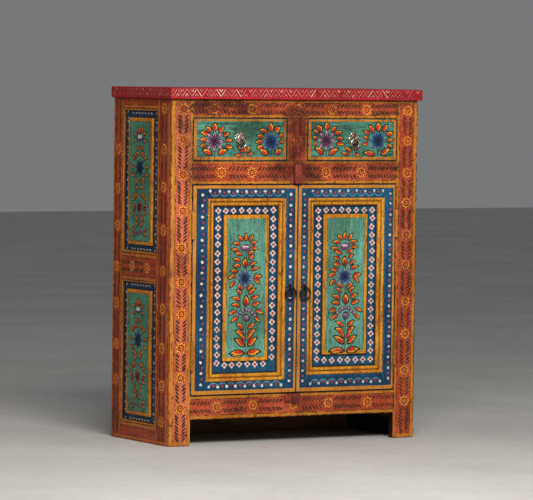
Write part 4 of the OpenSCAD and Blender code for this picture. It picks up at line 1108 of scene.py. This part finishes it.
# ---------------------------------------------------------------- sides
def side_bouquet(ink, pl, zs, u):
    z_top, z_fl, z_red, z_base, z0, z1 = zs
    for a, b in ((z0 + 12, z1 - 30),):
        ink.ribbon(pl, [(u, a + (b - a) * i / 14) for i in range(15)], 1.8, lin(40, 56, 34), 0)
    # the base: grey-purple cluster with leaves
    for dx in (-24, -9, 8, 23):
        ink.disc(pl, u + dx, z_base + w(3), 7.5, lin(96, 84, 92), 2, 9, ry=6)
    for sx in (-1, 1):
        def lf(du, dz, tu, tz, wd, a=ORANGE, b=YELLOW):
            ink.leaf(pl, u + sx * du, dz, u + sx * (du + (tu - du) * .86), dz + (tz - dz) * .86, wd * .92, jit(lerp(a, MAROON, rnd.uniform(0, .3)), .1), jit(b, .1), lin(16, 18, 12), .13 * sx)
        lf(22, z_base - 2, 44, z_base - 8, 10, lin(176, 52, 34))
        lf(24, z_base + 6, 46, z_base + 10, 9, lin(176, 52, 34))
        lf(6, z_base + 16, 24, z_base + 30, 9)
        lf(6, z_base + 30, 26, z_base + 44, 9)
        lf(24, z_red - 14, 44, z_red - 18, 9)
        lf(28, z_red + 2, 50, z_red + 4, 9)
        lf(26, z_red + 16, 46, z_red + 26, 9)
        lf(8, z_red + 26, 28, z_red + 38, 9)
        lf(6, z_red + 44, 26, z_red + 54, 8)
        lf(6, z_fl - 42, 24, z_fl - 30, 8)
        lf(26, z_fl - 16, 46, z_fl - 24, 9)
        lf(30, z_fl, 52, z_fl + 2, 9)
        lf(24, z_fl + 20, 44, z_fl + 30, 9)
        lf(6, z_fl + 30, 24, z_fl + 42, 8)
        if z_top - z_fl > 62:
            lf(6, z_fl + 44, 24, z_fl + 56, 8)
        lf(10, z_red - 22, 26, z_red - 30, 7)
        lf(16, z_red + 22, 34, z_red + 34, 7)
        lf(12, z_fl - 26, 30, z_fl - 36, 7)
        lf(14, z_fl + 26, 30, z_fl + 38, 7)
        lf(20, z_red - 2, 34, z_red - 8, 7, lin(150, 30, 36), lin(214, 96, 84))
        lf(16, z_top - 10, 36, z_top - 6, 9)
        lf(14, z_top + 6, 34, z_top + 14, 9)
        lf(8, z_top + 12, 18, z_top + 28, 8)
    ink.leaf(pl, u, z_top + 11, u, z_top + 30, 9, ORANGE, YELLOW, BLACK, 0)
    blossom(ink, pl, u, z_fl, 23, lin(26, 48, 96), lin(60, 74, 120), lin(14, 22, 50))
    blossom(ink, pl, u, z_red, 18, lin(150, 34, 44), lin(206, 96, 96), lin(90, 16, 24), 7)
    ink.disc(pl, u, z_top, 15, lin(40, 62, 104), 3, 12, ry=9)
    ink.disc(pl, u, z_top + 3, 12, lin(206, 206, 204), 4, 12, ry=5)


for s, sg in (("left", -1), ("right", 1)):
    SP = SIDES[s]
    ink = Ink(f"side_{s}_ornament", "cabinet", M["ink_door"])
    AM = lin(196, 112, 22)
    for (u, z0, z1, wd) in ((4.6, 3, 868, 5.4), (69.6, 4, 868, 8.2), (271.0, 4, 868, 7.6), (312.4, 3, 868, 6.0)):
        ink.band(SP, u, z0, u, z1, wd, AM, 0, .5, 9, lin(176, 92, 26))
    for (z, wd) in ((850.0, 7), (472.5, 8), (413.5, 8), (39.5, 8), (6, 5)):
        ink.band(SP, 77 if z > 10 else 8, z, 264 if z > 10 else 308, z, wd, AM, 0, .5, 9, lin(176, 92, 26))
    for (u, den) in ((8.2, .6), (65.0, .7), (74.2, .8), (267.4, .8), (275.4, .7), (308.6, .6)):
        ink.dashes(SP, u, 4, u, 868, 1.5, lin(44, 16, 6), den, 3)
    for z in (845.9, 854.2, 468.0, 477.0, 409.2, 418.2, 35.0, 44.0):
        ink.dashes(SP, 76, z, 265, z, 1.5, lin(44, 16, 6), .7, 3)
    rz = [848, 745, 650, 543, 440, 345, 245, 150, 60]
    framed_band(ink, SP, False, 40, runs_between(8, 862, rz), rz, 10.5, .06, 13.0, YELLOW, ORANGE)
    framed_band(ink, SP, False, 292, runs_between(8, 862, [740, 640, 545, 440, 345, 240, 150]), [740, 640, 545, 440, 345, 240, 150], 9.5, .15, 12.0)
    framed_band(ink, SP, True, 443, [(82, 106), (148, 196), (222, 262)], [126, 209], 9.0, .08, 12.5)
    G = SP.deeper(7.0)
    FP = SP.deeper(0.62)
    for (z0, z1) in ((66.0, 385.0), (499.0, 821.5)):
        ua, ub = 107.0, 238.0
        # navy ground with creamy dots and dashes
        n = int((z1 - z0 + 24) / 21)
        for i in range(n + 1):
            z = z0 - 12 + (z1 - z0 + 24) * i / n
            for uu in (ua - 12.5, ub + 12.5):
                stroke(ink, G, uu + w(1.5), z + w(2), 5.4 * (1 if i % 2 else -1), 6.4, 3.2, lin(212, 206, 190), 2)
                if rnd.random() < .6:
                    dot(ink, G, uu + w(3), z + 9, 1.6, lin(150, 160, 170))
        m = int((ub - ua) / 15)
        for i in range(1, m):
            for zz in (z0 - 11, z1 + 11.5):
                stroke(ink, G, ua + (ub - ua) * i / m, zz, 9, 3.4 if i % 2 else -3.4, 3.2, lin(206, 200, 186), 2)
        for (a, b, c, d) in ((ua + 9.6, z0 + 10, ua + 9.6, z1 - 10), (ub - 9.6, z0 + 10, ub - 9.6, z1 - 10), (ua + 10, z0 + 10, ub - 10, z0 + 10), (ua + 10, z1 - 9.6, ub - 10, z1 - 9.6)):
            ink.dashes(FP, a, b, c, d, 1.3, lin(40, 30, 16), .7, 0)
        # near-black line on the ground round the foot of each raised field: painted shade
        for (a, b, c, d) in ((ua - 1.2, z0 - 1, ua - 1.2, z1 + 1), (ub + 1.2, z0 - 1, ub + 1.2, z1 + 1), (ua, z0 - 1.2, ub, z0 - 1.2), (ua, z1 + 1.2, ub, z1 + 1.2)):
            ink.band(G, a, b, c, d, 2.6, lin(8, 14, 20), 0, .4)
    side_bouquet(ink, FP, (770, 695, 595, 530, 512, 812), 172.5)
    side_bouquet(ink, FP, (333, 258, 165, 92, 78, 376), 172.5)
    ink.build("turquoise_paint")


# ---------------------------------------------------------------- doors
def door_bouquet(ink, pl, ox, mir=1):
    X = lambda u: ox + mir * (u + 141) + w(.6)
    Z = lambda v: v + w(.6)
    STEM = lin(52, 58, 34)
    for z0, z1 in ((226, 312), (344, 352), (374, 400), (432, 452), (470, 490)):
        ink.ribbon(pl, [(ox + w(.4), z0 + (z1 - z0) * i / 5) for i in range(6)], 1.9, jit(STEM, .1), 0)

    def lf(u0, v0, u1, v1, wd, up=1, a=ORANGE, b=YELLOW):
        s = 1 if (X(u1) - X(u0)) * up > 0 else -1
        ink.leaf(pl, X(u0), Z(v0), X(u1), Z(v1), wd + w(.5), jit(lerp(a, MAROON, rnd.uniform(0, .2)), .1), jit(b, .1), BLACK, .14 * s)
    lf(-143, 229, -187, 229, 14, 1); ink.leaf(pl, X(-150), 227, X(-181), 224, 6, OCHRE, YELLOW, BLACK, -.1 * mir)
    lf(-137, 227, -96, 233, 14, 1); ink.leaf(pl, X(-132), 226, X(-106), 226, 6, OCHRE, YELLOW, BLACK, .1 * mir)
    for q in ((-145, 246, -174, 268, 14), (-134, 247, -106, 269, 14), (-144, 262, -160, 280, 8), (-136, 262, -121, 280, 8), (-146, 274, -171, 288, 12), (-134, 276, -111, 290, 11), (-146, 290, -169, 306, 10.5), (-134, 291, -113, 307, 10.5),
              (-162, 321, -184, 309, 9), (-115, 322, -99, 309, 9), (-168, 337, -191, 327, 9), (-113, 338, -91, 328, 9), (-158, 349, -183, 354, 10), (-124, 350, -99, 357, 10),
              (-157, 363, -182, 372, 10), (-127, 366, -103, 374, 10), (-154, 378, -170, 392, 8.5), (-133, 378, -113, 394, 8.5), (-149, 392, -169, 402, 8.5), (-137, 390, -118, 403, 8.5),
              (-172, 412, -188, 397, 9), (-119, 418, -101, 404, 9), (-171, 428, -192, 418, 9.5), (-119, 420, -95, 424, 11.5), (-166, 436, -188, 439, 9.5), (-127, 439, -103, 446, 8.5),
              (-157, 450, -180, 452, 9), (-132, 452, -112, 460, 8.5), (-158, 463, -180, 469, 9), (-135, 468, -117, 477, 8.5), (-153, 478, -175, 484, 9), (-136, 480, -117, 489, 8.5),
              (-163, 489, -185, 494, 9), (-127, 497, -107, 494, 9), (-159, 506, -182, 509, 9.5), (-129, 505, -109, 512, 9), (-153, 514, -167, 527, 9.5), (-144, 514, -142, 535, 9.5), (-134, 513, -121, 530, 9.5)):
        lf(*q)
    # purple flower hanging open, with lilac wings
    for du, dv, r in ((-17, 13, 5.2), (-25, 7, 4.6), (17, 12, 5.2), (25, 6, 4.6), (-9, 18, 4.6), (9, 18, 4.6), (0, 21, 5.0)):
        ink.disc(pl, X(-140 + du), 320 + dv, r * 1.15, lin(58, 44, 58), 2, 9)
        ink.disc(pl, X(-140 + du), 320.6 + dv, r * .72, jit(lin(150, 128, 146), .12), 3, 8)
    ink.disc(pl, X(-140), 320, 10.4, lin(36, 26, 36), 3, 12)
    ink.disc(pl, X(-140), 320, 8.6, lin(92, 62, 92), 4, 12)
    for dx in (-4, 0, 4):
        stroke(ink, pl, X(-140 + dx), 322, 0.5, 9, 1.6, lin(182, 156, 178), 5)
    # bud
    ink.leaf(pl, X(-140), 349, X(-140), 377, 17, ORANGE, YELLOW, BLACK, 0)
    ink.leaf(pl, X(-140), 350, X(-140), 366, 7, MAROON, ORANGE, MAROON, 0, 4)
    blossom(ink, pl, X(-145), 420, 25, lin(24, 70, 130), lin(140, 166, 196), lin(10, 30, 74), 8)
    ink.leaf(pl, X(-145), 447, X(-145), 472, 15, ORANGE, YELLOW, BLACK, 0)
    ink.leaf(pl, X(-145), 449, X(-145), 462, 6, MAROON, ORANGE, MAROON, 0, 4)
    ink.disc(pl, X(-144), 497, 15.5, lin(50, 32, 46), 2, 14, ry=9)
    ink.disc(pl, X(-144), 497, 13.8, lin(112, 74, 100), 3, 14, ry=7.4)
    ink.disc(pl, X(-144), 499.8, 9.5, lin(206, 176, 184), 4, 12, ry=3.0)
    ink.disc(pl, X(-144), 496.4, 9.0, lin(168, 122, 146), 5, 12, ry=1.6)
    for dx in (-8, -3, 2, 7):
        stroke(ink, pl, X(-144 + dx), 495.0, 0.4, 8.0, 1.3, lin(70, 38, 62), 6)


for s, (d, sg) in DOORS.items():
    b = "door_" + s
    x0, xa, xb, x1, za, zb = d
    ink = Ink(f"{b}_ornament", b, M["ink_door"])
    P = FRONT
    OC = lin(208, 146, 52)
    DOT_R, DOT_C = (3.9, DULL) if s == "left" else (3.5, lin(196, 188, 172))
    # ochre edge all round
    m = 9.4
    we = 6.2
    le, re = (m, we) if s == "left" else (we + 2.6, 5.4)
    for (u, wd) in ((x0 + .9 + le / 2, le), (x1 - .9 - re / 2, re)):
        ink.band(P, u, DZ0 + 1.2, u, DZ1 - 1.2, wd, OC, 0, .35, 9, OCHRE_D)
    for (z, wd) in ((DZ0 + 5.6, 9.2), (DZ1 - 4.6, 7.4)):
        ink.band(P, x0 + le, z, x1 - re, z, wd, OC, 0, .35, 9, OCHRE_D)
    # worn dark line beside the ochre
    ink.band(P, x0 + .9 + le + .6, DZ0 + 11, x0 + .9 + le + .6, DZ1 - 9, 1.3, lin(16, 44, 66), 1, .3)
    ink.band(P, x1 - .9 - re - .6, DZ0 + 11, x1 - .9 - re - .6, DZ1 - 9, 1.3, lin(16, 44, 66), 1, .3)
    # dots and scallops
    lu, ru = (-268.5, -13.0) if s == "left" else (26.5, 281.0)
    red_l, red_r = (-264.5, -12.5) if s == "left" else (27.5, 280.5)
    inner_l, inner_r = (-257.5, -21.5) if s == "left" else (34.0, 268.5)

    def column(u, ur, ui, n, z0, z1, sc, skip=()):
        zs = [z0 + (z1 - z0) * i / n + w(1.6) for i in range(n + 1)]
        for i, z in enumerate(zs):
            if any(abs(z - q) < 22 for q in skip):
                continue
            dot(ink, P, u + w(1), z, DOT_R, DOT_C)
        for i in range(n):
            z = (zs[i] + zs[i + 1]) / 2
            if any(abs(z - q) < 22 for q in skip):
                continue
            dot(ink, P, ur + w(1), z, 3.5, lerp(DOTRED, BLUE, .15))
            arc(ink, P, ui, zs[i] + 2, ui, zs[i + 1] - 2, sc, 1.1, lerp(SKY, BLUE, .55))
    # dark patch painted on the door behind the ring
    rx = -15.5 if s == "left" else 26.5
    for i in range(5):
        ink.disc(P, rx + 2.5 + w(2.0), 379 + w(2.5), 10.8 - i * .8, lerp(lin(14, 22, 32), lin(30, 42, 56), rnd.random()), 3, 13, wob=.16)
    column(lu, red_l, inner_l, 17 if s == "left" else 18, 154, 631, -4.5 if s == "left" else -4.0)
    column(ru, red_r, inner_r, 18, 157, 632, 4.5)

    def row(z, zr, zi, n, u0, u1, sc):
        us = [u0 + (u1 - u0) * i / n + w(1.4) for i in range(n + 1)]
        for u in us:
            dot(ink, P, u, z + w(1), DOT_R, DOT_C)
        for i in range(n):
            u = (us[i] + us[i + 1]) / 2
            dot(ink, P, u, zr + w(1), 3.7, DOTRED)
            arc(ink, P, us[i] + .5, zi, us[i + 1] - .5, zi, sc, 1.5, SKY)
    if s == "left":
        row(147.0, 150.5, 149.5, 8, -246, -38, 7.6)
        row(640.0, 636.5, 635.5, 8, -246, -38, -7.6)
    else:
        row(148.0, 151.5, 150.5, 8, 50, 257, 7.6)
        row(639.5, 635.5, 634.5, 8, 50, 257, -7.6)
    # inner ground: dark bands against moulding and field, antiquing with painted shade where the ground meets them, and
    # white flowers
    G = GROUND_P
    fx0, fx1, fz0, fz1 = (-205.0, -75.5, 210.5, 580.5) if s == "left" else (85.3, 215.0, 220.5, 580.5)
    gx0, gx1, gz0, gz1 = xa + 19.5, xb - 19.5, za + 19.5, zb - 19.5
    DK = lin(12, 30, 46)
    for (u, wd) in ((gx0 + 1.6, 3.0), (gx1 - 2.2, 4.2), (fx0 - 1.9, 3.4), (fx1 + 1.9, 3.4)):
        zz = (gz0 + 1, gz1 - 1) if u in (gx0 + 1.6, gx1 - 2.2) else (fz0 - 2, fz1 + 2)
        ink.band(G, u, zz[0], u, zz[1], wd, DK, 0, .6)
    for (z, a, c, wd) in ((gz0 + 1.6, gx0 + 1, gx1 - 1, 3.0), (gz1 - 2.2, gx0 + 1, gx1 - 1, 4.2), (fz0 - 1.9, fx0 - 3, fx1 + 3, 3.4), (fz1 + 1.9, fx0 - 3, fx1 + 3, 3.4)):
        ink.band(G, a, z, c, z, wd, DK, 0, .6)
    cl, cr, cb, ct = (-220.2, -60.6, 201.5, 591.0) if s == "left" else (71.0, 230.6, 205.0, 590.5)
    nv = 18
    for i in range(nv + 1):
        daisy(ink, G, cl + w(1.3), cb + 4 + (ct - cb - 4) * i / nv + w(1.2))
        if i > 0:
            daisy(ink, G, cr + w(1.3), cb + 3 + (ct - cb - 3) * i / nv - (7 if s == "left" else 2) * (1 - i / nv) + w(1.2))
        elif s == "right":
            daisy(ink, G, cr + w(1.3), cb + 1)
    nh = 7
    for i in range(1, nh):
        daisy(ink, G, cl + (cr - cl - (4 if s == "left" else 0)) * i / nh + w(1.5), cb + w(1), 8.8)
        daisy(ink, G, cl + (cr - cl) * i / nh - 1 + w(1.5), ct + w(1), 8.4)
    # field: dark line inside the ochre border, then the bouquet
    D = FRONT.deeper(FIELD - 0.34)
    for (a, c, e2, g) in ((fx0 + 9.4, fz0 + 11, fx0 + 9.4, fz1 - 11), (fx1 - 9.4, fz0 + 11, fx1 - 9.4, fz1 - 11), (fx0 + 10, fz1 - 9.9, fx1 - 10, fz1 - 9.9), (fx0 + 10, fz0 + 10.2, fx1 - 10, fz0 + 10.2)):
        ink.dashes(D, a, c, e2, g, 1.1, lin(60, 48, 22), .6, 0)
    door_bouquet(ink, D, -140.2 if s == "left" else 150.8, 1)
    ink.build("blue_paint")

# ---------------------------------------------------------------- drawers
DRAW = {
    "left": ((-296.0, -29.0), [
        (-236, 791, -234, 813, 16), (-247, 789, -263, 803, 12), (-255, 781, -278, 790, 11), (-258, 769, -279, 770, 11), (-259, 756, -278, 752, 11), (-244, 732, -271, 745, 14),
        (-225, 789, -208, 801, 12), (-213, 779, -192, 786, 10), (-207, 766, -184, 768, 10), (-205, 754, -183, 748, 10), (-226, 733, -199, 745, 13),
        (-74, 791, -73, 814, 15), (-85, 786, -109, 797, 12), (-63, 788, -47, 803, 14), (-95, 775, -116, 781, 10), (-97, 764, -120, 763, 11), (-96, 753, -115, 748, 11), (-84, 731, -108, 746, 13),
        (-61, 733, -41, 746, 13), (-51, 777, -37, 784, 9), (-50, 764, -35, 763, 9),
        (-150, 736, -152, 753, 9), (-155, 737, -171, 753, 9), (-145, 738, -135, 755, 9), (-157, 731, -179, 730, 8), (-142, 731, -124, 737, 8), (-150, 733, -150, 726, 6)],
        [(-236, 766, "p"), (-74, 765, "b")], [(-236, 742, -235, 727), (-74, 742, -73, 727)]),
    "right": ((34.0, 296.0), [
        (88, 795, 88, 816, 15), (73, 791, 59, 809, 13), (63, 786, 49, 796, 10), (61, 774, 47, 776, 10), (61, 760, 49, 758, 9), (80, 733, 54, 751, 14), (103, 790, 119, 804, 12), (112, 784, 136, 791, 11),
        (117, 772, 139, 774, 10), (116, 760, 142, 757, 10), (96, 731, 125, 748, 13),
        (241, 792, 243, 817, 16), (228, 789, 213, 808, 12), (216, 784, 197, 794, 9), (255, 791, 271, 810, 12), (265, 781, 287, 788, 13), (269, 767, 287, 770, 10), (268, 755, 286, 753, 9),
        (232, 731, 197, 737, 14), (250, 731, 279, 748, 13), (212, 760, 194, 757, 9), (213, 772, 196, 778, 9),
        (160, 739, 143, 752, 9), (152, 732, 132, 737, 8), (173, 732, 187, 731, 9), (171, 742, 181, 748, 7), (162, 737, 162, 729, 8)],
        [(88, 768, "p"), (241, 768, "b")], [(88, 744, 88, 728), (241, 744, 241, 728)]),
}
for s, ((u0, u1), leaves, flowers, stems) in DRAW.items():
    ink = Ink(f"drawer_{s}_ornament", "drawer_" + s, M["ink"])
    P = FRONT
    OC = lin(202, 134, 46)
    for (u, wd) in ((u0 + 1.2 + 4.0, 7.6), (u1 - 1.2 - 3.2, 6.2)):
        ink.band(P, u, 719.4, u, 821.6, wd, OC, 0, .4, 9, OCHRE_D)
    for (z, wd) in ((722.8, 7.0), (819.2, 5.2)):
        ink.band(P, u0 + 1.2, z, u1 - 1.2, z, wd, OC, 0, .4, 9, OCHRE_D)
    for q in stems:
        ink.ribbon(P, [(q[0] + (q[2] - q[0]) * i / 4 + w(.4), q[1] + (q[3] - q[1]) * i / 4) for i in range(5)], 2.2, lin(50, 54, 34), 1)
    px = -162.0 if s == "left" else 169.0
    for i in range(7):
        ink.disc(P, px + w(4), 765 + w(6), 12.5 - i * 1.1, lerp(lin(30, 30, 22), lin(58, 78, 62), rnd.random() * .7), 0, 13, wob=.2)
    for (a, b2, c, d2, wd) in leaves:
        s2 = 1 if c > a else -1
        ink.leaf(P, a, b2, c, d2, wd, jit(lerp(ORANGE, MAROON, rnd.uniform(0, .3)), .1), jit(YELLOW, .1), BLACK, .10 * s2)
    for (u, v, k) in flowers:
        if k == "p":
            blossom(ink, P, u, v, 27.0, lin(112, 70, 108), lin(190, 146, 170), lin(50, 26, 54), 8)
        else:
            blossom(ink, P, u, v, 26.5, lin(18, 60, 122), lin(84, 124, 176), lin(8, 24, 64), 8)
    ink.build("turquoise_paint")

# ---------------------------------------------------------------- stage
def stage_mat():
    m = NT("pale_floor")
    a = m.noise(2.2, 5.0, 0.6)
    b = m.noise(26.0, 5.0, 0.6)
    base = m.mix(m.rng(a, 0.3, 0.7), lin(198, 196, 192), lin(186, 184, 180))
    base = m.mix(m.rng(b, 0.4, 0.7, 0.0, 0.18), base, lin(150, 148, 144))
    m.put(m.bsdf.inputs["Base Color"], base)
    m.bsdf.inputs["Roughness"].default_value = 0.85
    m.bump(b, 0.0008, 0.5)
    return m.mat


me = bpy.data.meshes.new("floor")
S = 14.0
me.from_pydata([(-S, -S, 0), (S, -S, 0), (S, S, 0), (-S, S, 0), (-S, -S, -.02), (S, -S, -.02), (S, S, -.02), (-S, S, -.02)], [],
               [(0, 1, 2, 3), (7, 6, 5, 4), (0, 4, 5, 1), (1, 5, 6, 2), (2, 6, 7, 3), (3, 7, 4, 0)])
floor = bpy.data.objects.new("floor", me)
floor.location.z = -0.0004
me.materials.append(stage_mat())
bpy.context.scene.collection.objects.link(floor)

world = bpy.data.worlds.new("studio")
world.use_nodes = True
world.node_tree.nodes["Background"].inputs[0].default_value = (0.60, 0.61, 0.63, 1)
world.node_tree.nodes["Background"].inputs[1].default_value = 0.31
bpy.context.scene.world = world


def area(name, loc, target, size, power, col=(1, 1, 1)):
    l = bpy.data.lights.new(name, "AREA")
    l.shape = "RECTANGLE"
    l.size, l.size_y = size
    l.energy = power
    l.color = col
    o = bpy.data.objects.new(name, l)
    o.location = loc
    o.rotation_euler = (Vector(target) - Vector(loc)).to_track_quat("-Z", "Y").to_euler()
    bpy.context.scene.collection.objects.link(o)
    return o


area("key", (-0.95, -2.8, 2.35), (-0.12, 0, 0.5), (1.7, 1.2), 128, (1.0, 0.97, 0.93))
area("fill", (3.2, -2.2, 1.6), (0, 0, 0.5), (1.6, 1.6), 11, (0.93, 0.96, 1.0))
area("side", (-3.6, -1.2, 1.8), (0, 0, 0.45), (1.4, 1.4), 12, (1.0, 0.92, 0.82))

cam = bpy.data.cameras.new("camera")
cam.sensor_width = 36
cam.lens = 4000 / 533 * 36
cam.clip_end = 100
co = bpy.data.objects.new("camera", cam)
yaw, pitch, roll = 0.5100, 0.0467, 0.0124
fwd = Vector((math.sin(yaw) * math.cos(pitch), math.cos(yaw) * math.cos(pitch), -math.sin(pitch)))
right = Vector((math.cos(yaw), -math.sin(yaw), 0))
up = right.cross(fwd)
r2 = right * math.cos(roll) + up * math.sin(roll)
u2 = up * math.cos(roll) - right * math.sin(roll)
co.matrix_world = Matrix(((r2.x, u2.x, -fwd.x, -5.023645), (r2.y, u2.y, -fwd.y, -8.982666), (r2.z, u2.z, -fwd.z, 0.963776), (0, 0, 0, 1)))
bpy.context.scene.collection.objects.link(co)
bpy.context.scene.camera = co
bpy.context.scene.view_settings.view_transform = "Standard"
bpy.context.scene.view_settings.look = "None"
